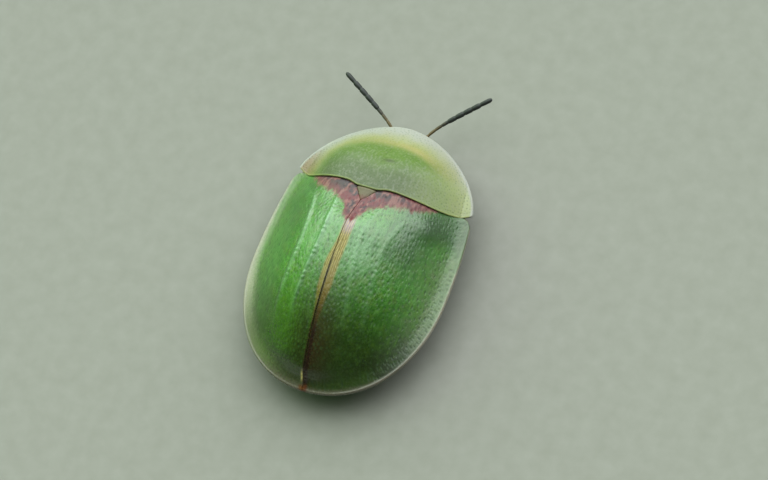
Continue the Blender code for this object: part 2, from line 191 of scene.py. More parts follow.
# The belly's plan, and the hind edges of its segments
BELLY_WIDEST_Y = 4.4
BELLY_LENGTH = 2.55
BELLY_HALF_WIDTH = 1.98
BELLY_POWER = 2.4
STERNITE_ENDS = (4.95, 5.45, 5.90, 6.35)

# Sockets of the hips and of the antennae, as distance from the middle and y or z
FRONT_HIP = (0.45, 1.74)
MIDDLE_HIP = (0.45, 2.72)
HIND_HIP = (0.50, 3.72)
HIP_DEPTH = 0.08
ANTENNA_SOCKET = (0.25, -0.24)

# Antennae: base, the point they lean towards, and tip
ANTENNAE = {
    "left": ((0.26, 0.62, -0.27), (0.40, 0.02, -0.22), (2.21, -0.99, 0.20)),
    "right": ((-0.24, 0.62, -0.27), (-0.27, -0.14, -0.22), (-1.75, -1.36, 0.15)),
}
ANTENNA_BEND = 2.2
SEGMENT_LENGTHS = (0.36, 0.16, 0.24, 0.22, 0.21, 0.20, 0.24, 0.24, 0.24, 0.25, 0.36)
SEGMENT_RADII = (0.062, 0.044, 0.040, 0.040, 0.042, 0.048, 0.064, 0.069, 0.070, 0.069, 0.062)

# One antenna segment: shares of its length, and of its radius there
SEGMENT_PROFILE = ((0.03, 0.80), (0.12, 0.91), (0.40, 0.98), (0.72, 1.0), (0.90, 0.97), (0.97, 0.84))

# Legs on the left side: hip, knee, ankle and toe
LEGS = {
    "front": ((0.52, 1.76, -0.25), (1.28, 1.46, -0.25), (1.48, 1.20, -0.48), (1.42, 0.74, -0.62)),
    "middle": ((0.54, 2.75, -0.25), (1.62, 2.92, -0.25), (2.04, 3.22, -0.48), (2.24, 3.80, -0.62)),
    "hind": ((0.54, 3.62, -0.25), (1.55, 4.34, -0.25), (1.92, 5.02, -0.48), (1.94, 5.66, -0.62)),
}

# Half widths of thigh and shin against the share of their length
THIGH_SHARES = (0, 0.08, 0.20, 0.30, 0.36, 0.5, 0.75, 0.92, 1.0)
THIGH_WIDTHS = (0.06, 0.17, 0.19, 0.13, 0.12, 0.17, 0.20, 0.13, 0.06)
SHIN_SHARES = (0, 0.1, 0.3, 0.8, 0.93, 1.0)
SHIN_WIDTHS = (0.04, 0.085, 0.08, 0.125, 0.12, 0.06)
THIGH_RINGS = 25
SHIN_RINGS = 21
THIGH_FLATNESS = 0.78
SHIN_FLATNESS = 0.85

# The photograph's camera: angles in degrees, distance and target in millimetres, target in pixels
VIEW_AZIMUTH = 228.43
VIEW_ELEVATION = 63.22
VIEW_ROLL = 331.11
VIEW_DISTANCE = 89.1
VIEW_TARGET = (0.0, 0.73, 1.60)
VIEW_PIXELS_PER_MM = 39.82
PHOTO_SIZE = (768, 480)
TARGET_PIXEL = (350.95, 247.22)
SENSOR_WIDTH = 36.0

# The soft light: a direction's leftward, rearward and upward parts are weighed by its lean; the light
# grows from the first to the second of its edges, and from the first to the second rise above the floor
LIGHT_LEAN = (0.15, -1.0, 0.62)
LIGHT_EDGE = (0.15, 0.95)
LIGHT_RISE = (0.03, 0.34)

# A weak green light from low on the beetle's left
LOW_LIGHT_ELEVATION = 12
LOW_LIGHT_ANGLE = 70

# Lines along the pale strip are this far apart; an eye's facets are drawn wider than life, to show
STRIP_LINE_SPACING = 0.05
FACET_WIDTH = 0.02

ELYTRA_FIELDS = ("rim_mm", "edge_mm", "seam_mm", "strip_mm", "back_mm", "band_mm", "pit", "costa",
                 "callus", "brown", "bloom", "tail_mark", "inside")
PRONOTUM_FIELDS = ("disc_mm", "hind_mm", "rim_mm", "corner", "arc", "pale", "pit", "smudge", "inside")
BLACK = (0.0, 0.0, 0.0)
WHITE = (1.0, 1.0, 1.0)


# Small helpers

def linear(hex_colour):
    """An sRGB hex colour as linear red, green and blue."""
    shares = [int(hex_colour[place:place + 2], 16) / 255 for place in (0, 2, 4)]
    return [s / 12.92 if s <= 0.04045 else ((s + 0.055) / 1.055) ** 2.4 for s in shares]


def length(name, description, millimetres):
    return bpy.props.FloatProperty(name=name, description=description, default=millimetres * MM,
                                   min=0.0, precision=6, unit="LENGTH")


def shade(name, description, hex_colour):
    return bpy.props.FloatVectorProperty(name=name, description=description, size=3,
                                         default=linear(hex_colour), min=0.0, max=1.0,
                                         subtype="COLOR")


def amount(name, description, default):
    return bpy.props.FloatProperty(name=name, description=description, default=default, min=0.0)


def place(x, y, z):
    """A point of the body's frame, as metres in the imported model's frame."""
    return np.stack([x, y - FRONT_TO_CENTRE, z + RIM_HEIGHT], axis=-1) * MM


def clear_selection():
    if bpy.context.mode != "OBJECT":
        bpy.ops.object.mode_set(mode="OBJECT")
    bpy.ops.object.select_all(action="DESELECT")


def own(piece, material, slot, *nodes):
    """Give the piece its material and tie it to the frame."""
    piece.data.materials.clear()
    piece.data.materials.append(material)
    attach(piece, "root")
    if nodes:
        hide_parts(*nodes)


def coordinates(mesh):
    """The mesh's points as rows, in its own units."""
    flat = np.empty(3 * len(mesh.vertices), np.float32)
    mesh.vertices.foreach_get("co", flat)
    return flat.reshape(-1, 3).astype(float)


def set_coordinates(mesh, points):
    """Move the mesh's points to these places of the body's frame."""
    mesh.vertices.foreach_set("co", place(*points.T).astype(np.float32).ravel())


def face_outwards():
    """Turn every face of the mesh being edited outwards, and leave edit mode."""
    bpy.ops.mesh.select_all(action="SELECT")
    bpy.ops.mesh.normals_make_consistent(inside=False)
    bpy.ops.object.mode_set(mode="OBJECT")


def set_field(mesh, name, values):
    field = mesh.attributes.get(name) or mesh.attributes.new(name, "FLOAT", "POINT")
    field.data.foreach_set("value", np.asarray(values, np.float32))


# Shape of the shell

def smooth_step(value):
    value = np.clip(value, 0.0, 1.0)
    return value * value * (3 - 2 * value)


def ramp(value, start, end):
    """Smoothly from 0 to 1 as value goes from start to end, which may be the lower."""
    return smooth_step((value - start) / (end - start))


def bell(value, width):
    return np.exp(-((value / width) ** 2))


def rounded_top(flat, domed):
    crease = 0.5 * (np.hypot(flat - domed, CREASE_WIDTH) - CREASE_WIDTH)
    return RIM_HALF_THICKNESS + 0.5 * (flat + domed) + crease


def half_width(y, inset=0.0):
    reach = np.where(y > WIDEST_Y, BODY_LENGTH - WIDEST_Y - inset, FRONT_TAPER)
    along = np.minimum(np.abs(y - WIDEST_Y) / reach, 1.0)
    return (ELYTRA_WIDTH / 2 - inset) * (1 - along**OUTLINE_POWER) ** (1 / OUTLINE_POWER)


def rim_distance(x, y):
    rearward = BODY_LENGTH - WIDEST_Y
    reach = np.where(y > WIDEST_Y, rearward, FRONT_TAPER)
    across = (2 * np.abs(x) / ELYTRA_WIDTH) ** OUTLINE_POWER
    along = (np.abs(y - WIDEST_Y) / reach) ** OUTLINE_POWER
    share = (across + along) ** (1 / OUTLINE_POWER)
    sideways = across / np.maximum(across + along, 1e-6)
    return (1 - share) * (rearward + (ELYTRA_WIDTH / 2 - rearward) * sideways)


def flange(distance, height):
    part = np.clip(distance / FLANGE_WIDTH, 0.0, 1.0)
    return height * part * (2 - part)


def dome(x, y):
    part = np.clip((y - TOP_Y) / (DOME_END_Y - TOP_Y), 0.0, 1.0)
    rear = DOME_HEIGHT * (1 - part ** REAR_FALL[0]) ** REAR_FALL[1]
    front = DOME_HEIGHT * np.sqrt(1 - (np.minimum(y - TOP_Y, 0.0) / FRONT_REACH) ** 2)
    middle = np.where(y > TOP_Y, rear, front)
    dip = smooth_step((DIP_START_Y - y) / DIP_LENGTH) * bell(x, DIP_WIDTH)
    foot = np.maximum(half_width(y, DOME_FOOT), 1e-6)
    across = np.maximum(1 - (x / foot) ** 2, 0.0)
    towards_base = smooth_step((BASE_FALL_Y - y) / BASE_FALL_LENGTH)
    fall = SIDE_FALL + (BASE_SIDE_FALL - SIDE_FALL) * towards_base
    return (middle - SCUTELLAR_DIP * dip) * across**fall


def sharp_elytra_height(x, y):
    height = FLANGE_HEIGHT + (FLANGE_REAR_HEIGHT - FLANGE_HEIGHT) * ramp(y, *FLANGE_RISE_Y)
    return rounded_top(flange(rim_distance(x, y), height), dome(x, y))


def elytra_height(x, y):
    """The elytra's height, averaged over a small disc so that the dome's foot has no hard line."""
    total = 2 * sharp_elytra_height(x, y)
    for turn in 2 * np.pi * np.arange(SOFTENING_POINTS) / SOFTENING_POINTS:
        for reach in (0.5 * SOFTENING, SOFTENING):
            total = total + sharp_elytra_height(x + reach * np.cos(turn), y + reach * np.sin(turn))
    return total / (2 + 2 * SOFTENING_POINTS)


def hind_margin(x):
    lobe = HIND_LOBE / (1 + (x / HIND_LOBE_HALF_WIDTH) ** HIND_LOBE_POWER)
    side = np.minimum(2 * np.abs(x) / PRONOTUM_WIDTH, 1.0)
    return HIND_Y + lobe - (HIND_Y - CORNER_Y) * side**HIND_CORNER_POWER


def pronotum_share(x, y):
    side = np.minimum(2 * np.abs(x) / PRONOTUM_WIDTH, 1.0)
    front = np.maximum(CORNER_Y - y, 0.0) / CORNER_Y
    return (side**SIDE_POWER + front**FRONT_POWER) ** (1 / ROUND_POWER)


def pronotum_height(x, y):
    inside = np.maximum(1 - pronotum_share(x, y), 0.0)
    side = np.minimum(2 * np.abs(x) / PRONOTUM_WIDTH, 1.0)
    run = np.maximum(1 - side ** (SIDE_POWER / ROUND_POWER), 1e-6)
    rise = np.sin(0.5 * np.pi * np.minimum(inside / run, 1.0))
    return rounded_top(flange(inside * PRONOTUM_RADIUS, PRONOTUM_FLANGE), dome(x, y) * rise)


def pronotum_top(x, y):
    lip = HIND_LIP * ramp(hind_margin(x) - y, HIND_LIP_LENGTH, 0.0)
    arch = FRONT_ARCH * ramp(y, FRONT_ARCH_LENGTH, 0.0) * bell(x, FRONT_ARCH_WIDTH)
    return pronotum_height(x, y) + lip + arch


# Plates: closed shells with a finely modelled outer face

def four_sided(u, v, first, last, near, far):
    """A point inside a plate from its edge curves: first and last run with v, near and far with u."""
    corners = [[np.array(curve(np.array(end))) for end in (0.0, 1.0)] for curve in (first, last)]
    u, v = u[..., None], v[..., None]
    across = (1 - u) * np.stack(first(v[..., 0]), -1) + u * np.stack(last(v[..., 0]), -1)
    along = (1 - v) * np.stack(near(u[..., 0]), -1) + v * np.stack(far(u[..., 0]), -1)
    inner = (1 - u) * ((1 - v) * corners[0][0] + v * corners[0][1])
    outer = u * ((1 - v) * corners[1][0] + v * corners[1][1])
    return (across + along - inner - outer)[..., 0], (across + along - inner - outer)[..., 1]


def outline_point(turn):
    power = 2 / OUTLINE_POWER
    reach = np.where(turn > 0, BODY_LENGTH - WIDEST_Y, FRONT_TAPER)
    y = WIDEST_Y + np.sign(turn) * reach * np.abs(np.sin(turn)) ** power
    return ELYTRA_WIDTH / 2 * np.maximum(np.cos(turn), 0.0) ** power, y


def elytron_plan(side, gap, tuck):
    """The plan of one elytron, tucked under the pronotum and round the scutellum."""
    turn_start = -math.asin(((WIDEST_Y - SHOULDER_Y) / FRONT_TAPER) ** (OUTLINE_POWER / 2))
    shoulder_width = float(half_width(np.array(SHOULDER_Y))) - SHOULDER_X
    shoulder_front = float(hind_margin(SHOULDER_X)) - tuck
    scutellum_margin = float(hind_margin(SCUTELLUM_HALF_WIDTH))
    notch_start, front = scutellum_margin + SCUTELLUM_SHOULDER, scutellum_margin - tuck

    def shoulder(turn):
        x = SHOULDER_X + shoulder_width * np.sin(turn)
        return x, SHOULDER_Y - (SHOULDER_Y - shoulder_front) * np.cos(turn)

    corner_x = float(shoulder(np.array(math.pi / 4))[0])

    def base(v):
        inner = gap + SCUTELLUM_HALF_WIDTH
        x = inner + (corner_x - inner) * v
        turn = np.arcsin(np.clip((x - SHOULDER_X) / shoulder_width, 0.0, 1.0))
        return x, np.where(x > SHOULDER_X, shoulder(turn)[1], hind_margin(x) - tuck)

    def suture(u):
        y = front + (BODY_LENGTH - front) * u
        notch = np.clip(1 - (y - notch_start) / SCUTELLUM_LENGTH, 0.0, 1.0)
        return gap + SCUTELLUM_HALF_WIDTH * notch, y

    def rim(u):
        arc = shoulder(0.25 * np.pi * (1 + np.minimum(u / SHOULDER_SHARE, 1.0)))
        turn = np.maximum(u - SHOULDER_SHARE, 0.0) / (1 - SHOULDER_SHARE)
        side_line = outline_point(turn_start + (TAIL_SPLIT - turn_start) * turn)
        early = u < SHOULDER_SHARE
        return np.where(early, arc[0], side_line[0]), np.where(early, arc[1], side_line[1])

    def tail(v):
        x, y = outline_point(0.5 * np.pi + (TAIL_SPLIT - 0.5 * np.pi) * v)
        return np.maximum(x, gap), y

    def plan(u, v):
        x, y = four_sided(u, v, base, tail, suture, rim)
        return side * x, y

    return plan


def pronotum_plan(u, v):
    def front_arc(turn):
        x = PRONOTUM_WIDTH / 2 * np.sign(np.cos(turn)) * np.abs(np.cos(turn)) ** (2 / SIDE_POWER)
        return x, CORNER_Y * (1 - np.abs(np.sin(turn)) ** (2 / FRONT_POWER))

    def left(v):
        return front_arc(FRONT_SPLIT * (1 - v))

    def right(v):
        x, y = left(v)
        return -x, y

    def front(u):
        return front_arc(FRONT_SPLIT + (np.pi - 2 * FRONT_SPLIT) * u)

    def hind(u):
        x = PRONOTUM_WIDTH / 2 * (1 - 2 * u)
        return x, hind_margin(x)

    return four_sided(u, v, left, right, front, hind)


def closer_at_edges(value):
    """Grid lines drawn together towards both edges, where the shell rounds over."""
    return value - 0.3 * np.sin(2 * np.pi * value) / (2 * np.pi)


def edge_rounding(u, v, spans, radii):
    """1 well inside the plate, falling to 0 on its edge as a quarter circle does."""
    total = np.ones_like(u)
    distances = (u * spans[0], (1 - u) * spans[0], v * spans[1], (1 - v) * spans[1])
    for distance, radius in zip(distances, radii):
        inside = np.clip(distance / radius, 0.0, 1.0)
        total = total * np.sqrt(1 - (1 - inside) ** 2)
    return total


def slopes(height, x, y):
    step = 0.01
    slope_x = (height(x + step, y) - height(x - step, y)) / (2 * step)
    slope_y = (height(x, y + step) - height(x, y - step)) / (2 * step)
    return slope_x, slope_y


def grow_plate(name, cells, spans, radii, plan, middle, half_depth, relief, facing=1):
    """A closed plate. Its outer face is a fine grid; rings of the grid's edge then run in under it."""
    clear_selection()
    bpy.ops.mesh.primitive_grid_add(x_subdivisions=cells[0], y_subdivisions=cells[1], size=1.0)
    piece = bpy.context.object
    piece.name = piece.data.name = name
    mesh = piece.data
    u, v = closer_at_edges(coordinates(mesh)[:, :2].T + 0.5)
    x, y = plan(u, v)
    rounding = edge_rounding(u, v, spans, radii)
    z = middle(x, y) + facing * half_depth(x, y) * rounding
    slope_x, slope_y = slopes(middle, x, y)
    normal = np.stack([-slope_x, -slope_y, np.ones_like(x)], -1) * facing
    normal /= np.linalg.norm(normal, axis=1, keepdims=True)
    points = np.stack([x, y, z], -1)
    lift, fields = relief(u, v, points)
    # The relief fades out on the rounded edge
    points += normal * (lift * np.minimum(rounding * 1.2, 1.0))[:, None]
    set_coordinates(mesh, points)
    fields.update(plan_u=u, plan_v=v, inside=np.zeros_like(u))
    for field, values in fields.items():
        set_field(mesh, field, values)
    close_under(piece, spans, radii, plan, middle, half_depth, facing)
    return piece


def close_under(piece, spans, radii, plan, middle, half_depth, facing):
    """Extrude the grid's edge inwards ring by ring until the last ring meets itself."""
    reach = 0.5 * spans[1]
    steps = [0.3 * max(radii), max(radii)] + [share * reach for share in UNDER_RINGS]
    bpy.ops.object.mode_set(mode="EDIT")
    bpy.ops.mesh.select_mode(type="EDGE")
    bpy.ops.mesh.select_all(action="DESELECT")
    bpy.ops.mesh.select_non_manifold(extend=False, use_wire=False, use_boundary=True,
                                     use_multi_face=False, use_non_contiguous=False, use_verts=False)
    for step in steps:
        bpy.ops.mesh.extrude_region_move()
        bm = bmesh.from_edit_mesh(piece.data)
        layers = [bm.verts.layers.float[key] for key in ("plan_u", "plan_v", "inside")]
        ring = [vert for vert in bm.verts if vert.select]
        u, v = (np.array([vert[layer] for vert in ring]) for layer in layers[:2])
        shrunk = (1 - min(step / reach, 1.0) * 2 * min(reach / spans[0], 0.5), 1 - step / reach)
        inner_u, inner_v = (0.5 + (value - 0.5) * share for value, share in zip((u, v), shrunk))
        x, y = plan(inner_u, inner_v)
        rounding = edge_rounding(inner_u, inner_v, spans, radii)
        z = middle(x, y) - facing * half_depth(x, y) * rounding
        for vert, spot in zip(ring, place(x, y, z)):
            vert.co = spot
            vert[layers[2]] = 1.0
        bmesh.update_edit_mesh(piece.data)
    bpy.ops.mesh.select_all(action="SELECT")
    bpy.ops.mesh.remove_doubles(threshold=WELD)
    face_outwards()
    for field in ("plan_u", "plan_v"):
        piece.data.attributes.remove(piece.data.attributes[field])
    bpy.ops.object.shade_smooth()


def scattered(points, spacing, seed):
    """Points picked at random from these, none nearer to another than the spacing."""
    order = np.random.default_rng(seed).permutation(len(points))
    taken = {}
    picked = []
    near = [(a, b, c) for a in (-1, 0, 1) for b in (-1, 0, 1) for c in (-1, 0, 1)]
    for index in order:
        point = points[index]
        cell = tuple(np.floor(point / spacing).astype(int))
        crowded = False
        for a, b, c in near:
            for other in taken.get((cell[0] + a, cell[1] + b, cell[2] + c), ()):
                gap = other - point
                if gap[0] * gap[0] + gap[1] * gap[1] + gap[2] * gap[2] < spacing * spacing:
                    crowded = True
                    break
            if crowded:
                break
        if not crowded:
            taken.setdefault(cell, []).append(point)
            picked.append(index)
    return points[picked]


def pressed(points, centres, radius, seed):
    """How deep each point lies in the pits round the centres, from 0 to 1."""
    tree = KDTree(len(points))
    for index, point in enumerate(points):
        tree.insert(point, index)
    tree.balance()
    depth = np.zeros(len(points))
    for centre, size in zip(centres, np.random.default_rng(seed).uniform(0.6, 1.2, len(centres))):
        for _, index, distance in tree.find_range(centre, radius * size):
            value = size * (1 - (distance / (radius * size)) ** 2) ** 2
            depth[index] = max(depth[index], value)
    return depth


def punctured(points, spacing, radius, seed):
    """Pits of about that radius scattered over the points, as depths from 0 to 1."""
    return pressed(points, scattered(points, spacing, seed), radius, seed + 1)


def run_along_rim(x, y):
    """Length along the elytra's outline, from the shoulder back, next to a point."""
    turns = np.linspace(-0.5 * np.pi, 0.5 * np.pi, 400)
    line = np.stack(outline_point(turns), -1)
    steps = np.linalg.norm(np.diff(line, axis=0), axis=1)
    lengths = np.concatenate([[0.0], np.cumsum(steps)])
    reach = np.where(y > WIDEST_Y, BODY_LENGTH - WIDEST_Y, FRONT_TAPER)
    up = np.sign(y - WIDEST_Y) * (np.abs(y - WIDEST_Y) / reach) ** (OUTLINE_POWER / 2)
    out = (2 * np.abs(x) / ELYTRA_WIDTH) ** (OUTLINE_POWER / 2)
    return np.interp(np.arctan2(up, out), turns, lengths)


# Node materials

def add_node(tree, kind, inputs=None, **settings):
    """Add a node, set its settings, and fill its inputs with values or links."""
    node = tree.nodes.new(kind)
    for key, value in settings.items():
        setattr(node, key, value)
    for key, value in (inputs or {}).items():
        socket = node.inputs[key]
        if isinstance(value, bpy.types.NodeSocket):
            tree.links.new(value, socket)
        elif socket.type == "RGBA":
            socket.default_value = (*tuple(value)[:3], 1.0)
        else:
            socket.default_value = value
    return node


def field_of(tree, name):
    return add_node(tree, "ShaderNodeAttribute", attribute_name=name).outputs["Fac"]


def reckon(tree, operation, first, second=0.0, third=0.0, clamp=False):
    inputs = {0: first, 1: second, 2: third}
    return add_node(tree, "ShaderNodeMath", inputs, operation=operation, use_clamp=clamp).outputs[0]


def times(tree, first, second):
    return reckon(tree, "MULTIPLY", first, second)


def jittered(tree, value, noise, swing):
    """The value, moved by the noise to half of the swing on either side."""
    return reckon(tree, "MULTIPLY_ADD", reckon(tree, "SUBTRACT", noise, 0.5), swing, value)


def between(tree, value, low, high, bottom=0.0, top=1.0):
    """Smoothly from bottom to top as value goes from low to high."""
    inputs = {"Value": value, "From Min": low, "From Max": high, "To Min": bottom, "To Max": top}
    return add_node(tree, "ShaderNodeMapRange", inputs, interpolation_type="SMOOTHSTEP").outputs[0]


def grain(tree, millimetres, detail=2.0, stretch=(1, 1, 1), rough=0.5):
    """Noise with marks of about that size; stretch above 1 shortens them along that axis."""
    spot = add_node(tree, "ShaderNodeTexCoord").outputs["Object"]
    spot = add_node(tree, "ShaderNodeMapping", {"Vector": spot, "Scale": stretch}).outputs[0]
    inputs = {"Vector": spot, "Scale": 1 / (millimetres * MM), "Detail": detail, "Roughness": rough}
    return add_node(tree, "ShaderNodeTexNoise", inputs).outputs["Fac"]


def blended(tree, below, above, share, kind="MIX"):
    inputs = {0: share, 6: below, 7: above}
    return add_node(tree, "ShaderNodeMix", inputs, data_type="RGBA", blend_type=kind).outputs[2]


def layered(tree, ground, layers):
    """Lay each colour over the ones before, by its share."""
    for colour, share in layers:
        ground = blended(tree, ground, colour, share)
    return ground


def new_material(name, **constants):
    material = bpy.data.materials.new(name)
    material.use_nodes = True
    shader = material.node_tree.nodes["Principled BSDF"]
    for key, value in constants.items():
        shader.inputs[key.replace("_", " ")].default_value = value
    return material, material.node_tree, shader


def finish_material(tree, shader, colour, roughness, height=None, depth=0.001):
    tree.links.new(colour, shader.inputs["Base Color"])
    tree.links.new(roughness, shader.inputs["Roughness"])
    if height is not None:
        inputs = {"Height": height, "Distance": depth * MM, "Strength": 1.0}
        bump = add_node(tree, "ShaderNodeBump", inputs)
        tree.links.new(bump.outputs[0], shader.inputs["Normal"])


def translucent(shader, millimetres, weight, tint=(1.0, 0.8, 0.5)):
    """Light that spreads a little way inside the cuticle."""
    shader.inputs["Subsurface Weight"].default_value = weight
    shader.inputs["Subsurface Radius"].default_value = tint
    shader.inputs["Subsurface Scale"].default_value = millimetres * MM


def elytra_ground(tree, colours, field, back, streak, patches):
    """Green, brown beside the rear seam; painted shade in pits, on an outer stripe and partly to the rear;
    painted highlight partly on costae and as a sheen near the seam.
    """
    lively = between(tree, back, 4.8, 6.4, 0.40, 0.15)
    olive = between(tree, back, 4.6, 6.2, 0.40, 0.12)
    return layered(tree, colours.elytra_front, [
        # Darker towards the rear: partly the dark body showing through, partly painted shade on the slope
        # turned from the light
        (colours.elytra_rear, between(tree, back, 4.3, 6.4)),
        # Lighter and darker streaks: partly the cuticle's grain, partly painted glints; fewer towards the
        # rear
        (colours.elytra_light, times(tree, between(tree, streak, 0.48, 0.68), lively)),
        (colours.elytra_pit_shade, times(tree, between(tree, streak, 0.50, 0.34), lively)),
        (colours.elytra_olive, times(tree, between(tree, patches, 0.48, 0.66), olive)),
        (colours.elytra_brown, times(tree, field["brown"], between(tree, back, 4.4, 6.8, 0.0, 0.75))),
        # Painted shade in the pits, and on the outer stripe and the right shoulder
        (colours.elytra_pit_shade, reckon(tree, "MAXIMUM", times(tree, field["pit"], 0.6), field["callus"])),
        # Paler costae: partly their own colour, partly painted highlight
        (colours.costa, times(tree, field["costa"], 0.8)),
        # Painted sheen: a lighter stripe near the seam
        (colours.costa, times(tree, field["bloom"], between(tree, streak, 0.30, 0.60, 0.15, 0.55))),
    ])


def clear_border(tree, colours, field, back, streak):
    """The see-through border of the elytra, darker to the rear, partly as painted shade, and darker in its
    cells as painted shade.
    """
    return layered(tree, colours.flange, [
        (colours.flange_rear, between(tree, back, 4.8, 6.2)),
        (colours.flange_tail, between(tree, back, 6.4, 6.9)),
        (colours.flange_dark, times(tree, field["pit"], 0.9)),
        (colours.flange_dark, between(tree, streak, 0.44, 0.60, 0.0, 0.5)),
    ])


def seam_strip(tree, colours, field, back, fine):
    """The pale strip along the seam, pink in front and dark behind, with fine lines: colour, share."""
    width = jittered(tree, field["strip_mm"], fine, 0.03)
    width = reckon(tree, "ADD", width, between(tree, back, 3.8, 4.7, 0.02, -0.03))
    width = reckon(tree, "ADD", width, between(tree, back, 5.0, 6.0, 0.0, 0.10))
    line = reckon(tree, "COSINE", times(tree, width, 2 * math.pi / STRIP_LINE_SPACING))
    lines = between(tree, jittered(tree, line, fine, 1.5), 0.0, 1.0)
    colour = layered(tree, colours.seam_gold, [
        (colours.seam_pink, between(tree, back, 3.9, 3.5)),
        (colours.seam_dark, between(tree, back, 4.9, 6.3)),
        (colours.seam_light, times(tree, lines, between(tree, back, 5.3, 4.2, 0.0, 0.7))),
    ])
    return colour, times(tree, between(tree, width, 0.19, 0.11), between(tree, back, 3.1, 3.5))


def base_band(tree, colours, field, streak):
    """The purple-red band, spotted and streaked: its colour, and the distance inside its ragged edge."""
    ragged = grain(tree, 0.14, 4.0, (1.0, 0.4, 1.0), 0.7)
    spots = between(tree, grain(tree, 0.26, 3.0, (1.0, 0.6, 1.0)), 0.42, 0.53)
    colour = layered(tree, colours.band, [
        (colours.band_dark, times(tree, spots, between(tree, field["band_mm"], 0.05, 0.40, 0.0, 0.92))),
        (colours.band_light, between(tree, streak, 0.48, 0.62, 0.0, 0.75)),
    ])
    return colour, jittered(tree, field["band_mm"], ragged, 0.55)


def elytra_roughness(tree, field, back, fine, band, strip_share):
    """Satin, duller to the sides, in pits and band, and on the front of the strip."""
    rough = reckon(tree, "MULTIPLY_ADD", fine, 0.10, between(tree, field["seam_mm"], 1.3, 2.0, 0.22, 0.36))
    dull_strip = times(tree, strip_share, between(tree, back, 5.4, 4.4))
    in_band = between(tree, band, -0.06, 0.08)
    for share, more in ((field["pit"], 0.15), (in_band, 0.35), (dull_strip, 0.35)):
        rough = reckon(tree, "MULTIPLY_ADD", share, more, rough)
    return rough


def elytra_material(colours):
    """Waxy living chitin, grown and hardened: satin, with a broad cool sheen broken by its pits."""
    material, tree, shader = new_material("elytra_waxy_chitin", IOR=1.75)
    translucent(shader, 0.06, 0.25)
    field = {name: field_of(tree, name) for name in ELYTRA_FIELDS}
    fine, patches = grain(tree, 0.05, 3.0), grain(tree, 0.22, 3.0)
    streak = grain(tree, 0.10, 3.0, (1.0, 0.3, 1.0))
    back = jittered(tree, field["back_mm"], grain(tree, 0.4, 2.0), 0.4)
    strip, strip_share = seam_strip(tree, colours, field, back, fine)
    purple, band = base_band(tree, colours, field, streak)
    border = clear_border(tree, colours, field, back, streak)
    border_share = between(tree, jittered(tree, field["rim_mm"], patches, 0.9), 0.62, 0.08, 0.0, 0.65)
    seam_line = times(tree, between(tree, field["seam_mm"], 0.040, 0.018),
                      between(tree, back, 4.0, 4.9, 0.15, 0.9))
    edge_line = blended(tree, colours.rim, colours.rim_rear, between(tree, back, 5.2, 6.6))
    tail_end = times(tree, between(tree, field["seam_mm"], 0.16, 0.05),
                     between(tree, field["rim_mm"], 0.16, 0.08))
    colour = layered(tree, elytra_ground(tree, colours, field, back, streak, patches), [
        (border, border_share),
        # Painted shade on the outer stripe and the right shoulder
        (colours.elytra_pit_shade, times(tree, field["callus"], 0.5)),
        (strip, times(tree, strip_share, 0.9)),
        (colours.seam_dark, seam_line),
        (purple, between(tree, band, -0.10, 0.12)),
        # Pale edge line, widened on the left as painted highlight
        (edge_line, between(tree, jittered(tree, field["edge_mm"], fine, 0.04), 0.07, 0.0)),
        # A painted glint near the tail
        (colours.seam_light, reckon(tree, "MINIMUM", field["tail_mark"], 0.9)),
        (colours.tail_tip, tail_end),
        (colours.flange, field["inside"]),
    ])
    # Fine bumps break the sheen into flecks, stronger in front and near the seam
    broken = times(tree, between(tree, back, 4.2, 6.2, 5.2, 3.0),
                   between(tree, field["seam_mm"], 1.4, 2.1, 1.0, 0.62))
    glints = grain(tree, 0.055, 2.0, (1.0, 0.36, 1.0))
    height = reckon(tree, "MULTIPLY_ADD", glints, broken, grain(tree, 0.02, 3.0))
    rough = elytra_roughness(tree, field, back, fine, band, strip_share)
    finish_material(tree, shader, colour, rough, height, 0.002)
    return material


def pronotum_material(colours):
    """The same waxy chitin, thinner and paler, clear at its flat border."""
    material, tree, shader = new_material("pronotum_waxy_chitin", IOR=1.48)
    translucent(shader, 0.08, 0.3)
    field = {name: field_of(tree, name) for name in PRONOTUM_FIELDS}
    disc = jittered(tree, field["disc_mm"], grain(tree, 0.35, 2.0), 0.2)
    speckle = grain(tree, 0.06, 3.0, (1.0, 0.45, 1.0))
    colour = layered(tree, colours.pronotum_border, [
        (colours.pronotum_yellow, between(tree, disc, -0.52, 0.02)),
        (colours.pronotum_disc, between(tree, disc, -0.18, 0.36)),
        # Painted sheen: greyer towards the hind margin
        (colours.pronotum_hind_sheen, times(tree, between(tree, field["hind_mm"], 1.2, 0.2),
                                      between(tree, disc, 0.0, 0.6))),
        # Painted light: paler towards the right corner
        (colours.pronotum_lit_side, times(tree, field["pale"], 0.7)),
        (colours.pronotum_border, between(tree, speckle, 0.46, 0.66, 0.0, 0.22)),
        # Painted shade in the pits
        (colours.pronotum_pit_shade, times(tree, field["pit"], 0.45)),
        # Golden arc at the front of the disc, its stronger right half a painted highlight
        (colours.pronotum_arc_and_highlight, times(tree, field["arc"], 0.6)),
        (colours.smudge, field["smudge"]),
        (colours.pronotum_corner, field["corner"]),
        (colours.hind_line, between(tree, field["hind_mm"], 0.06, 0.02, 0.0, 0.4)),
        (colours.pronotum_border, between(tree, field["rim_mm"], 0.08, 0.03)),
        (colours.pronotum_border, field["inside"]),
    ])
    rough = reckon(tree, "MULTIPLY_ADD", grain(tree, 0.05, 3.0), 0.15,
                   between(tree, field["hind_mm"], 0.2, 1.2, 0.42, 0.36))
    finish_material(tree, shader, colour, rough, grain(tree, 0.02, 3.0), 0.002)
    return material


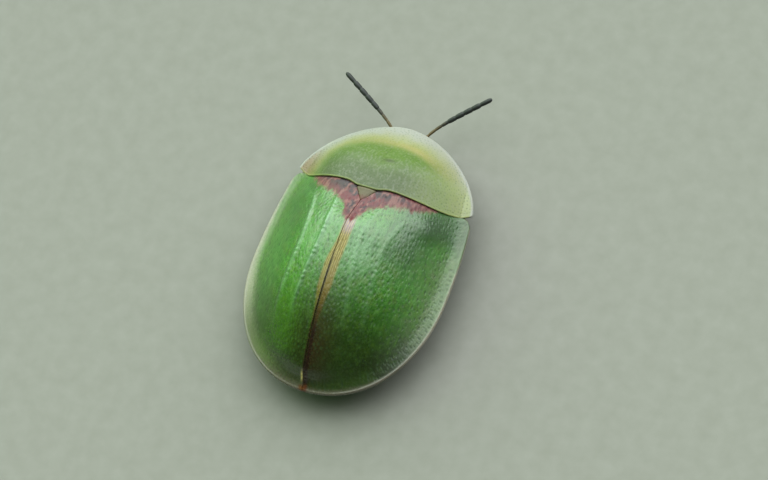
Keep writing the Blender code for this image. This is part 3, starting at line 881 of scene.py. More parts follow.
def two_tone_material(name, first, second, marks_mm, roughness, low=0.3, high=0.6):
    """Chitin that passes from one colour to the other as the piece's tone goes from low to high."""
    material, tree, shader = new_material(name, IOR=1.56)
    marks = grain(tree, marks_mm, 3.0)
    share = jittered(tree, field_of(tree, "tone"), marks, 0.3)
    colour = layered(tree, first, [(second, between(tree, share, low, high)),
                                   (BLACK, times(tree, marks, 0.3))])
    rough = reckon(tree, "MULTIPLY_ADD", marks, 0.2, roughness)
    finish_material(tree, shader, colour, rough, marks, 0.004)
    return material


def eye_material(colours):
    """A compound eye: a glossy black cornea of small facets."""
    material, tree, shader = new_material("eye_faceted_cornea", IOR=1.56, Coat_Weight=0.3)
    spot = add_node(tree, "ShaderNodeTexCoord").outputs["Object"]
    facets = add_node(tree, "ShaderNodeTexVoronoi", {"Vector": spot, "Scale": 1 / (FACET_WIDTH * MM)})
    colour = layered(tree, colours.eye, [(colours.eye_rim, between(tree, facets.outputs[0], 0.4, 0.8))])
    rough = reckon(tree, "MULTIPLY_ADD", facets.outputs[0], 0.15, 0.12)
    height = reckon(tree, "SUBTRACT", 1.0, facets.outputs[0])
    finish_material(tree, shader, colour, rough, height, 0.003)
    return material


# Settings shown in the sidebar

class BeetleShell(bpy.types.PropertyGroup):
    """Sizes of the shell's plates and of the marks in them."""

    plate: length("Plate thickness", "Thickness of an elytron's plate", 0.10)
    pronotum_plate: length("Pronotum thickness", "Thickness of the pronotum's plate", 0.05)
    seam: length("Seam half gap", "Half of the gap between the elytra", 0.003)
    tuck: length("Tuck", "How far the elytra reach under the pronotum", 0.08)
    pit_spacing: length("Pit spacing", "Least distance between pits of the elytra", 0.080)
    pit_radius: length("Pit radius", "Radius of a pit of the elytra", 0.035)
    pit_depth: length("Pit depth", "Depth of a pit of the elytra", 0.008)
    fine_pit_spacing: length("Fine pit spacing", "Least distance between pits of the pronotum", 0.070)
    fine_pit_radius: length("Fine pit radius", "Radius of a pit of the pronotum", 0.028)
    fine_pit_depth: length("Fine pit depth", "Depth of a pit of the pronotum", 0.007)
    costa_height: length("Costa height", "Height of the raised lines on the elytra", 0.045)
    cell_spacing: length("Border cell spacing", "Distance between the border's radial cells", 0.095)


class BeetleColours(bpy.types.PropertyGroup):
    """Colours of the cuticle."""

    elytra_front: shade("Elytra front", "Green of the front half of the elytra", "34710c")
    # Partly painted glints
    elytra_light: shade("Elytra streaks", "Lighter streaks in the green", "5f8b40")
    # Partly painted shade: the rear slope is turned from the light
    elytra_rear: shade("Elytra rear", "Green of the rear slope", "223804")
    elytra_brown: shade("Elytra brown", "Red-brown beside the rear seam", "341f0c")
    elytra_olive: shade("Elytra olive", "Olive patches in the green", "4d6513")
    # Painted shade: used in pits, dark streaks, the outer stripe and the right shoulder
    elytra_pit_shade: shade("Elytra pits", "Green at the bottom of the pits", "1b420d")
    # Partly painted highlight on the costae; also used for the painted sheen near the seam
    costa: shade("Costae", "Raised pale lines", "6c9468")
    flange: shade("Border", "Clear border of the elytra", "646e4a")
    # Partly painted shade round the tail
    flange_rear: shade("Border rear", "Clear border round the tail", "202712")
    flange_tail: shade("Border tail", "Clear border at the very tail", "38491f")
    # Painted shade in the border's cells
    flange_dark: shade("Border cells", "Cells in the clear border", "20320c")
    # The pale edge line: its own colour, widened as painted highlight along the left side
    rim: shade("Rim", "Edge line of the elytra", "8b8375")
    rim_rear: shade("Rear rim", "Pinkish grey edge round the tail", "655f50")
    tail_tip: shade("Tail tip", "Orange-brown end of the seam", "603518")
    # Also used for the painted glint near the tail
    seam_light: shade("Seam lights", "Pale fine lines of the strip", "c4ae68")
    seam_gold: shade("Seam gold", "Golden strip along the seam", "76610e")
    seam_pink: shade("Seam pink", "Front end of the strip", "93788a")
    seam_dark: shade("Seam dark", "Rear end of the strip", "271606")
    band: shade("Band", "Purple-red band at the base of the elytra", "5a0d17")
    band_dark: shade("Band spots", "Dark spots in the band", "1a0513")
    band_light: shade("Band lights", "Pale marks in the band", "7d4d46")
    pronotum_disc: shade("Pronotum disc", "Yellow-green of the disc", "4e6917")
    # Painted sheen on the hind part of the pronotum
    pronotum_hind_sheen: shade("Pronotum hind", "Cooler green towards the hind margin", "4b5733")
    pronotum_border: shade("Pronotum border", "Clear cream border", "909088")
    pronotum_yellow: shade("Pronotum yellow", "Yellow-green round the disc", "888a56")
    # Painted light on the right side of the pronotum
    pronotum_lit_side: shade("Pronotum right", "Paler yellow-green towards the right corner", "8f9a6a")
    # Partly painted highlight
    pronotum_arc_and_highlight: shade("Pronotum arc", "Golden arc at the front of the disc", "a18f5a")
    # Painted shade in the pits
    pronotum_pit_shade: shade("Pronotum pits", "Green at the bottom of the pits", "324f18")
    pronotum_corner: shade("Pronotum corners", "Orange-brown corners", "6b5126")
    hind_line: shade("Hind line", "Yellow line on the hind margin", "8f9450")
    smudge: shade("Smudge", "Small dark mark on the disc", "383e20")
    scutellum: shade("Scutellum", "Olive-brown plate between the elytra", "60563b")
    scutellum_tip: shade("Scutellum tip", "Orange-brown tip of that plate", "5c2f1e")
    underside: shade("Underside", "Black of the breast and belly", "0f0f0c")
    underside_rim: shade("Belly rim", "Pale rim of the belly", "818b42")
    head: shade("Head", "Black of the head", "12130c")
    eye: shade("Eye", "Black of the facets", "07070a")
    eye_rim: shade("Eye grooves", "Brown between the facets", "18110c")
    mouth: shade("Mouthparts", "Brown of jaws and palps", "523411")
    antenna_base: shade("Antenna base", "Yellow-brown of the first segments", "5e4c22")
    antenna: shade("Antenna club", "Grey-black of the club", "171c18")
    leg: shade("Legs", "Yellow-green of the legs", "818b35")
    leg_base: shade("Leg base", "Black of the thighs' bases", "12120b")
    pad: shade("Foot", "Yellow-brown of the feet", "78692e")
    claw: shade("Claws", "Dark brown of the claws", "251308")


class BeetleStage(bpy.types.PropertyGroup):
    """Floor and light."""

    floor: shade("Floor", "Pale floor", "7d7c74")
    floor_size: length("Floor size", "Side of the floor", 1500.0)
    light: shade("Light", "Colour of the soft light", "f2fcf8")
    key: amount("Front light", "Brightness of the soft light ahead of the beetle", 3.9)
    low_light: shade("Low light", "Colour of the low light", "8cff34")
    low: amount("Low light strength", "Strength of the low light from the left", 1.15)
    fill: amount("Fill light", "Brightness of the dim light all round it", 0.05)


# The shell

def costae(seam, y):
    """The two raised lines of an elytron, faded out at both ends and slightly uneven."""
    inner = bell(seam - np.polyval(INNER_COSTA, y - TOP_Y), COSTA_HALF_WIDTH)
    outer = bell(seam - np.polyval(OUTER_COSTA, y - TOP_Y), COSTA_HALF_WIDTH)
    uneven = 0.85 + 0.15 * np.sin(27 * y + 3 * np.sin(10 * y) + 2 * seam)
    return (inner + OUTER_COSTA_SHARE * outer) * ramp(y, *COSTA_START_Y) * ramp(y, *COSTA_END_Y) * uneven


def border_cells(x, y, rim, spacing, seed):
    """Radial cells scattered in rows along the clear border."""
    run = run_along_rim(x, y)
    spread = np.random.default_rng(seed + 2)
    cells = []
    for row, out in enumerate(CELL_ROWS):
        for index in range(int(run.max() / spacing)):
            jitter = spread.uniform(-0.45, 0.45, 2)
            along = (index + 0.5 * (row % 2) + jitter[0]) * spacing
            cells.append((along, CELL_SQUASH * (out + 0.12 * jitter[1]), 0.0))
    unrolled = np.stack([run, CELL_SQUASH * rim, 0 * run], -1)
    return pressed(unrolled, np.array(cells), CELL_RADIUS, seed + 3)


def edge_distance(side, rim, y):
    """Distance from the edge, smaller where the pale edge line is wide and larger where it is thin; it is
    widened on the left as painted highlight and narrowed at the right front as painted shade.
    """
    if side > 0:
        width = 1 + 2.8 * ramp(y, 2.0, 4.6) + 3.6 * ramp(y, 4.2, 5.4) * ramp(y, 7.4, 6.9)
        return rim / width
    width = 1 + 0.3 * ramp(y, 4.0, 6.0) + ramp(y, 6.5, 7.1)
    return rim / width * (1 + 2.5 * ramp(y, 3.6, 2.8))


def elytra_marks(side, x, y, rim, seam):
    """What the elytra's material reads besides pits and costae, most of it as distances."""
    marks = MARKS[side]
    offset = STRIP_OFFSET[0] + (STRIP_OFFSET[1] - STRIP_OFFSET[0]) * ramp(y, *STRIP_TURN_Y[::-1])
    # Painted shade: a lengthwise stripe of the outer disc, stronger on the right
    callus = marks["callus"] * bell(seam - PAINTED_SHADE_SEAM, STRIPE_HALF_WIDTH)
    callus = callus * ramp(y, 2.2, 2.6) * ramp(y, 4.7, 3.3)
    border = rim
    if side < 0:
        # Painted shade darkens the right shoulder; its clear border is narrower there and a little wider
        # further back
        callus = callus + 0.7 * ramp(y, 3.2, 2.6) * ramp(seam, 1.5, 1.8)
        border = rim * (0.80 + 0.9 * ramp(y, 3.5, 2.7))
    # Painted sheen: a lighter stripe near the seam
    bloom = marks["bloom"] * bell(seam - marks["bloom_seam"], STRIPE_HALF_WIDTH)
    return dict(
        rim_mm=border,
        edge_mm=edge_distance(side, rim, y),
        seam_mm=seam,
        back_mm=y,
        band_mm=np.interp(seam, BAND_X, BAND_Y) - y,
        strip_mm=np.abs(x + offset),
        # A painted glint near the tail
        tail_mark=1.5 * bell(x - TAIL_GLINT[0], 0.025) * bell(y - TAIL_GLINT[1], 0.07),
        callus=callus,
        brown=marks["brown"] * ramp(seam, 0.9, 0.1),
        bloom=bloom * ramp(y, 3.1, 3.7) * ramp(y, 5.0, 4.0))


def elytra_relief(side, shell):
    def relief(u, v, points):
        x, y = points[:, 0], points[:, 1]
        rim, seam = rim_distance(x, y), np.abs(x)
        costa = MARKS[side]["costa"] * costae(seam, y)
        seed = 11 if side > 0 else 23
        pitted = (rim > PITTED_RIM) & (seam > PITTED_SEAM)
        drawn_out = points * (1.0, PIT_SQUASH, 1.0)
        centres = scattered(drawn_out[pitted], shell.pit_spacing / MM, seed)
        pits = pressed(drawn_out, centres, shell.pit_radius / MM, seed + 1) * (1 - 0.8 * costa)
        cells = border_cells(x, y, rim, shell.cell_spacing / MM, seed)
        # The border's cells show most along the right side's rear
        comb = 0.3 if side > 0 else 0.35 + 0.4 * ramp(y, 2.9, 3.8) + 0.35 * ramp(y, 4.4, 5.7)
        pits = np.maximum(pits, comb * cells * ramp(rim, 0.46, 0.26) * (rim > 0.05))
        pits = np.maximum(pits, bell(np.hypot(x - LONE_SPOT[0], y - LONE_SPOT[1]), 0.04))
        behind = y - hind_margin(x)
        depth = shell.pit_depth / MM * ramp(behind, 0.0, 0.1) * (1 - 0.35 * ramp(y, 4.2, 5.8))
        from_shoulder = np.hypot(seam - SHOULDER_BUMP_AT[0], y - SHOULDER_BUMP_AT[1])
        shoulder = SHOULDER_BUMP_HEIGHT * bell(from_shoulder, SHOULDER_BUMP_RADIUS)
        bead = EDGE_BEAD_HEIGHT * bell(rim - EDGE_BEAD_WIDTH, EDGE_BEAD_WIDTH)
        seam_ridge = SEAM_RIDGE_HEIGHT * bell(seam, SEAM_RIDGE_WIDTH)
        tucked = 0.06 * ramp(behind + shell.tuck / MM, 0.2, 0.0)
        lift = shell.costa_height / MM * costa + shoulder + bead + seam_ridge - depth * pits - tucked
        return lift, dict(elytra_marks(side, x, y, rim, seam), pit=pits, costa=costa)

    return relief


def pronotum_relief(shell):
    def relief(u, v, points):
        x, y = points[:, 0], points[:, 1]
        hind = hind_margin(x) - y
        rim = (1 - pronotum_share(x, y)) * PRONOTUM_RADIUS
        disc = np.hypot((x + DISC_SHIFT) / DISC_RADII[0], (y - DISC_CENTRE_Y) / DISC_RADII[1])
        disc = DISC_DEPTH * (1 - disc)
        pits = punctured(points, shell.fine_pit_spacing / MM, shell.fine_pit_radius / MM, 31)
        bead = 0.005 * bell(hind - 0.03, 0.025) + 0.006 * bell(rim - 0.03, 0.03)
        lift = bead - shell.fine_pit_depth / MM * pits * ramp(hind, 0.0, 0.1)
        from_corner = np.hypot(np.abs(x) - PRONOTUM_WIDTH / 2, (y - CORNER_Y) * 0.8)
        corner = np.where(x > 0, CORNER_SHARES["left"], CORNER_SHARES["right"])
        arc = 0.8 * bell(disc - 0.08, 0.12) * ramp(y, 1.35, 0.95)
        smudge = bell(x - SMUDGE_AT[0], SMUDGE_SIZE[0]) * bell(y - SMUDGE_AT[1], SMUDGE_SIZE[1])
        return lift, dict(
            disc_mm=disc,
            hind_mm=hind,
            rim_mm=rim,
            pit=pits,
            corner=corner * ramp(from_corner, 0.85, 0.15),
            # The arc is stronger on the right, where it holds a painted highlight
            arc=arc * (bell(x - BRIGHT_ARC_X, 0.7) + 0.4 * bell(x + BRIGHT_ARC_X, 0.7)),
            # Painted light: paler towards the right corner
            pale=ramp(-x, 0.65, 1.75) * ramp(y, 0.9, 1.5),
            smudge=0.8 * smudge)

    return relief


class GrowElytra(bpy.types.Operator):
    """Grow the two elytra, with their pits, raised lines and clear border."""

    bl_idname = "beetle.grow_elytra"
    bl_label = "Grow elytra"

    def execute(self, context):
        shell = context.scene.beetle_shell
        material = elytra_material(context.scene.beetle_colours)
        half = 0.5 * shell.plate / MM
        for name, side in (("left", 1), ("right", -1)):
            piece = grow_plate(
                f"elytron_{name}_shell", ELYTRON_CELLS, ELYTRON_SPANS, ELYTRON_EDGES,
                elytron_plan(side, shell.seam / MM, shell.tuck / MM),
                lambda x, y: elytra_height(x, y) - half, lambda x, y: half + 0 * x,
                elytra_relief(side, shell))
            own(piece, material, "elytra", f"elytron_{name}")
        return {"FINISHED"}


class GrowPronotum(bpy.types.Operator):
    """Grow the pronotum, the wide plate over the head."""

    bl_idname = "beetle.grow_pronotum"
    bl_label = "Grow pronotum"

    def execute(self, context):
        shell = context.scene.beetle_shell
        half = 0.5 * shell.pronotum_plate / MM
        piece = grow_plate(
            "pronotum_shell", PRONOTUM_CELLS, PRONOTUM_SPANS, PRONOTUM_EDGES, pronotum_plan,
            lambda x, y: pronotum_top(x, y) - half, lambda x, y: half + 0 * x, pronotum_relief(shell))
        own(piece, pronotum_material(context.scene.beetle_colours), "pronotum", "pronotum")
        return {"FINISHED"}


class GrowScutellum(bpy.types.Operator):
    """Grow the small triangular plate between the bases of the elytra."""

    bl_idname = "beetle.grow_scutellum"
    bl_label = "Grow scutellum"

    def execute(self, context):
        margin = float(hind_margin(SCUTELLUM_HALF_WIDTH))
        front, back = margin - SCUTELLUM_TUCK, margin + SCUTELLUM_SHOULDER + SCUTELLUM_LENGTH

        def plan(u, v):
            y = front + (back - front) * u
            width = (SCUTELLUM_HALF_WIDTH - 0.005) * np.minimum((back + 0.02 - y) / SCUTELLUM_LENGTH, 1.0)
            return width * (2 * v - 1), y

        def relief(u, v, points):
            pits = punctured(points, 0.06, 0.02, 41)
            tucked = 0.07 * ramp(points[:, 1] - front, 0.12, 0.0)
            crown = 0.03 * (1 - (2 * v - 1) ** 2)
            # Pits take on the darker tip colour, as painted shade
            tone = 0.25 + 0.3 * pits + 0.8 * ramp(u, 0.4, 1.0)
            return crown - 0.006 * pits - tucked, dict(tone=tone)

        piece = grow_plate(
            "scutellum_plate", SCUTELLUM_CELLS, SCUTELLUM_SPANS, SCUTELLUM_EDGES, plan,
            lambda x, y: elytra_height(x, y) - 0.06, lambda x, y: 0.05 + 0 * x, relief)
        colours = context.scene.beetle_colours
        material = two_tone_material("scutellum_chitin", colours.scutellum, colours.scutellum_tip,
                                     0.06, 0.50, 0.3, 1.0)
        own(piece, material, "scutellum", "scutellum")
        return {"FINISHED"}


# The trunk, seen from below

def belly_width(y):
    along = np.maximum(y - BELLY_WIDEST_Y, 0.0) / BELLY_LENGTH
    return BELLY_HALF_WIDTH * np.maximum(1 - along**BELLY_POWER, 0.0) ** (1 / BELLY_POWER)


def trunk_part(name, span, width, height, relief, cells, depth=0.18):
    """A body segment under the shell, modelled on its lower face."""
    def plan(u, v):
        y = span[0] + (span[1] - span[0]) * u
        return width(y) * (2 * v - 1), y

    def lower(x, y):
        crown = np.maximum(1 - (x / (width(y) + 1e-6)) ** 2, 0.0)
        return 0.02 - depth * crown**0.6

    def upper(x, y):
        slope_x, slope_y = slopes(height, x, y)
        wall = 0.20 * np.minimum(np.sqrt(1 + slope_x**2 + slope_y**2), 2.2)
        return np.maximum(height(x, y) - wall, lower(x, y) + 0.08)

    return grow_plate(
        name, cells, (span[1] - span[0], 3.4), TRUNK_EDGES, plan,
        lambda x, y: 0.5 * (lower(x, y) + upper(x, y)),
        lambda x, y: 0.5 * (upper(x, y) - lower(x, y)), relief, -1)


class GrowTrunk(bpy.types.Operator):
    """Grow the black breast and belly under the shell."""

    bl_idname = "beetle.grow_trunk"
    bl_label = "Grow trunk"

    def execute(self, context):
        colours = context.scene.beetle_colours
        belly = two_tone_material("belly_punctured_chitin", colours.underside, colours.underside_rim,
                                  0.08, 0.38)

        def abdomen_relief(u, v, points):
            x, y = points[:, 0], points[:, 1]
            bowed = y + 0.06 * (x / 1.9) ** 2
            steps = sum(0.035 * ramp(bowed, end, end - 0.03) * ramp(bowed, end - 0.5, end)
                        for end in STERNITE_ENDS)
            pits = punctured(points, 0.085, 0.03, 51)
            return steps - 0.01 * pits, dict(tone=ramp(belly_width(y) - np.abs(x), 0.42, 0.22))

        def breast_relief(u, v, points):
            x, y = points[:, 0], points[:, 1]
            groove = -0.05 * bell(x, 0.04) * ramp(y, 2.9, 3.1)
            sockets = bell(np.hypot(np.abs(x) - MIDDLE_HIP[0], y - MIDDLE_HIP[1]), 0.22)
            sockets += bell(np.hypot((np.abs(x) - HIND_HIP[0]) * 0.7, y - HIND_HIP[1]), 0.20)
            pits = punctured(points, 0.085, 0.03, 53)
            return groove - HIP_DEPTH * sockets - 0.01 * pits, dict(tone=0 * x)

        def front_relief(u, v, points):
            x, y = points[:, 0], points[:, 1]
            process = 0.07 * bell(x, 0.16)
            sockets = bell(np.hypot(np.abs(x) - FRONT_HIP[0], y - FRONT_HIP[1]), 0.22)
            pits = punctured(points, 0.08, 0.028, 55)
            return process - HIP_DEPTH * sockets - 0.008 * pits, dict(tone=0 * x)

        pieces = (
            trunk_part("abdomen_belly", (3.96, 6.93), belly_width, elytra_height, abdomen_relief,
                       (130, 150)),
            trunk_part("thorax_breast", (2.20, 4.02), lambda y: 1.72 + 0.12 * ramp(y, 2.2, 3.7),
                       elytra_height, breast_relief, (90, 130)),
            trunk_part("prothorax_breast", (1.24, 2.22), lambda y: 1.25 + 0 * y, pronotum_height,
                       front_relief, (60, 110)),
        )
        for piece, node in zip(pieces, ("abdomen", "thorax", "prothorax")):
            own(piece, belly, "underside", node)
        return {"FINISHED"}


# Limbs: a small circle extruded ring by ring

def sweep(name, centres, half_sizes, sides=16, upright=(0.0, 0.0, 1.0), tones=None):
    """A closed limb through the centres, oval in section; tones colour it along its length."""
    clear_selection()
    bpy.ops.mesh.primitive_circle_add(vertices=sides, radius=MM, fill_type="NGON")
    piece = bpy.context.object
    piece.name = piece.data.name = name
    set_field(piece.data, "turn", 2 * np.pi * np.arange(sides) / sides)
    set_field(piece.data, "tone", np.zeros(sides))
    centres = [Vector(centre) for centre in centres]
    bpy.ops.object.mode_set(mode="EDIT")
    bpy.ops.mesh.select_all(action="SELECT")
    for index, (centre, sizes) in enumerate(zip(centres, half_sizes)):
        if index:
            bpy.ops.mesh.extrude_region_move()
        before, after = centres[max(index - 1, 0)], centres[min(index + 1, len(centres) - 1)]
        direction = (after - before).normalized()
        sideways = direction.cross(Vector(upright)).normalized()
        up = sideways.cross(direction)
        bm = bmesh.from_edit_mesh(piece.data)
        turn, tone = bm.verts.layers.float["turn"], bm.verts.layers.float["tone"]
        for vert in (vert for vert in bm.verts if vert.select):
            across, above = sizes[0] * math.cos(vert[turn]), sizes[1] * math.sin(vert[turn])
            vert.co = place(*(centre + sideways * across + up * above))
            vert[tone] = tones[index] if tones is not None else index / (len(centres) - 1)
        bmesh.update_edit_mesh(piece.data)
    face_outwards()
    bpy.ops.object.shade_smooth_by_angle(angle=math.radians(50))
    return piece


def limb(name, knots, widths, flatness=1.0, thickest=math.inf, tone=None, **settings):
    """A limb through the knots; its half height is a share of its half width, up to the thickest."""
    tones = None if tone is None else [tone] * len(widths)
    sizes = [(width, min(flatness * width, thickest)) for width in widths]
    return sweep(name, run_points(knots, len(widths)), sizes, tones=tones, **settings)


def joined(name, pieces):
    clear_selection()
    for piece in pieces:
        piece.select_set(True)
    bpy.context.view_layer.objects.active = pieces[0]
    bpy.ops.object.join()
    pieces[0].name = pieces[0].data.name = name
    return pieces[0]


def mirrored(piece, name):
    """A copy on the other side, with its own mesh."""
    clear_selection()
    piece.select_set(True)
    bpy.context.view_layer.objects.active = piece
    bpy.ops.object.duplicate(linked=False)
    other = bpy.context.object
    other.name = other.data.name = name
    other.data.transform(Matrix.Diagonal((-1.0, 1.0, 1.0, 1.0)))
    bpy.ops.object.mode_set(mode="EDIT")
    face_outwards()
    return other


def run_points(knots, count):
    """Points on a smooth curve through the knots, with the knots' own share of its length."""
    knots = np.array(knots, float)
    ends = np.concatenate([[2 * knots[0] - knots[1]], knots, [2 * knots[-1] - knots[-2]]])
    shares = np.linspace(0, len(knots) - 1 - 1e-9, count)
    points = []
    for share in shares:
        index = int(share)
        t = share - index
        a, b, c, d = ends[index:index + 4]
        points.append(0.5 * (2 * b + (c - a) * t + (2 * a - 5 * b + 4 * c - d) * t**2
                             + (3 * b - a - 3 * c + d) * t**3))
    return points


def antenna_line(base, pull, tip, part):
    weights = ((1 - part) ** 2, 2 * part * (1 - part) * ANTENNA_BEND, part**2)
    return (base * weights[0] + pull * weights[1] + tip * weights[2]) / sum(weights)


class GrowAntennae(bpy.types.Operator):
    """Grow the antennae, eleven segments each."""

    bl_idname = "beetle.grow_antennae"
    bl_label = "Grow antennae"

    def execute(self, context):
        colours = context.scene.beetle_colours
        material = two_tone_material("antenna_downy_chitin", colours.antenna_base, colours.antenna,
                                     0.03, 0.5, 0.30, 0.52)
        for name, knots in ANTENNAE.items():
            base, pull, tip = (Vector(point) for point in knots)
            line = [antenna_line(base, pull, tip, part / 400) for part in range(401)]
            run = np.concatenate([[0.0], np.cumsum([(b - a).length for a, b in zip(line, line[1:])])])
            scale = run[-1] / sum(SEGMENT_LENGTHS)
            centres, sizes, tones = [], [], []
            start = 0.0
            for index, (extent, radius) in enumerate(zip(SEGMENT_LENGTHS, SEGMENT_RADII), 1):
                for part, swell in SEGMENT_PROFILE:
                    # The last segment narrows to the tip
                    if index == len(SEGMENT_LENGTHS) and part > 0.8:
                        swell *= 0.55 if part > 0.9 else 0.80
                    place_on = (start + part * extent) * scale
                    centres.append(Vector([np.interp(place_on, run, [p[axis] for p in line])
                                           for axis in range(3)]))
                    sizes.append((radius * swell, radius * swell))
                    tones.append(place_on / run[-1])
                start += extent
            centres.append(line[-1])
            sizes.append((0.012, 0.012))
            tones.append(1.0)
            piece = sweep(f"antenna_{name}_segments", centres, sizes, 20, tones=tones)
            own(piece, material, "antennae", f"antenna_{name}")
        return {"FINISHED"}


class GrowLegs(bpy.types.Operator):
    """Grow the six legs, each with thigh, shin and foot."""

    bl_idname = "beetle.grow_legs"
    bl_label = "Grow legs"

    def execute(self, context):
        colours = context.scene.beetle_colours
        thigh = two_tone_material("thigh_chitin", colours.leg_base, colours.leg, 0.05, 0.35, 0.45, 0.65)
        shin = two_tone_material("shin_chitin", colours.leg, colours.pad, 0.05, 0.38, 0.6, 1.1)
        foot = two_tone_material("foot_downy_chitin", colours.pad, colours.claw, 0.03, 0.55, 0.75, 0.95)
        for pair, joints in LEGS.items():
            hip, knee, ankle, toe = (Vector(joint) for joint in joints)
            root = hip + Vector((-0.26, 0.0, 0.06))
            knots = (root, hip, hip.lerp(knee, 0.5), knee - (knee - hip).normalized() * 0.05)
            widths = np.interp(np.linspace(0, 1, THIGH_RINGS), THIGH_SHARES, THIGH_WIDTHS)
            femur = limb(f"thigh_{pair}_left", knots, widths, THIGH_FLATNESS)
            heading = (ankle - knee).normalized()
            knots = (knee - heading * 0.07, knee.lerp(ankle, 0.5) + Vector((0.02, 0, 0.02)),
                     ankle + heading * 0.03)
            widths = np.interp(np.linspace(0, 1, SHIN_RINGS), SHIN_SHARES, SHIN_WIDTHS)
            tibia = limb(f"shin_{pair}_left", knots, widths, SHIN_FLATNESS)
            left = (femur, tibia, self.foot(pair, ankle, toe))
            right = [mirrored(piece, piece.name.replace("left", "right")) for piece in left]
            for side, pieces in (("left", left), ("right", right)):
                own(pieces[0], thigh, "femora", f"femur_{pair}_{side}")
                own(pieces[1], shin, "tibiae", f"tibia_{pair}_{side}")
                own(pieces[2], foot, "tarsi", f"tarsus_{pair}_{side}")
        return {"FINISHED"}

    def foot(self, pair, ankle, toe):
        """Three broad lobed segments, a slim last one, and two claws."""
        flat = Vector((toe.x - ankle.x, toe.y - ankle.y, 0.0)).normalized()
        across = Vector((flat.y, -flat.x, 0.0))
        floor = -RIM_HEIGHT

        def spot(along, side, height):
            return Vector((ankle.x, ankle.y, floor + height)) + flat * along + across * side

        made = [
            limb("foot_segment_1", (ankle - flat * 0.02, spot(0.06, 0, 0.20), spot(0.17, 0, 0.10)),
                 (0.03, 0.055, 0.065, 0.075, 0.085, 0.09, 0.09, 0.08, 0.05), 0.8, tone=0.2),
            limb("foot_segment_2", (spot(0.13, 0, 0.11), spot(0.20, 0, 0.075), spot(0.27, 0, 0.06)),
                 (0.03, 0.07, 0.09, 0.10, 0.11, 0.115, 0.11, 0.09, 0.05), 0.55, tone=0.3),
        ]
        for side in (1, -1):
            knots = (spot(0.22, 0.02 * side, 0.06), spot(0.33, 0.065 * side, 0.045),
                     spot(0.46, 0.095 * side, 0.04))
            widths = (0.02, 0.05, 0.065, 0.075, 0.08, 0.082, 0.08, 0.075, 0.065, 0.045, 0.015)
            made.append(limb("foot_lobe", knots, widths, 0.8, thickest=0.04, tone=0.4))
        knots = (spot(0.26, 0, 0.09), spot(0.42, 0, 0.12), spot(0.56, 0, 0.105))
        widths = (0.015, 0.028, 0.03, 0.032, 0.034, 0.037, 0.04, 0.042, 0.042, 0.036, 0.02)
        made.append(limb("foot_last_segment", knots, widths, tone=0.6))
        for side in (1, -1):
            knots = (spot(0.54, 0.015 * side, 0.105), spot(0.61, 0.045 * side, 0.11),
                     spot(0.65, 0.075 * side, 0.05))
            widths = (0.016, 0.02, 0.02, 0.019, 0.017, 0.014, 0.011, 0.007, 0.003)
            made.append(limb("foot_claw", knots, widths, tone=1.0, sides=8))
        return joined(f"foot_{pair}_left", made)


# The head

def shaped_ball(name, centre, radii, segments, rings, shape):
    """A sphere at its place and size, its points then moved by shape."""
    clear_selection()
    bpy.ops.mesh.primitive_uv_sphere_add(segments=segments, ring_count=rings, radius=1.0)
    piece = bpy.context.object
    piece.name = piece.data.name = name
    unit = coordinates(piece.data)
    points, tone = shape(unit, np.array(centre) + unit * np.array(radii))
    set_coordinates(piece.data, points)
    set_field(piece.data, "tone", tone)
    bpy.ops.object.shade_smooth()
    return piece


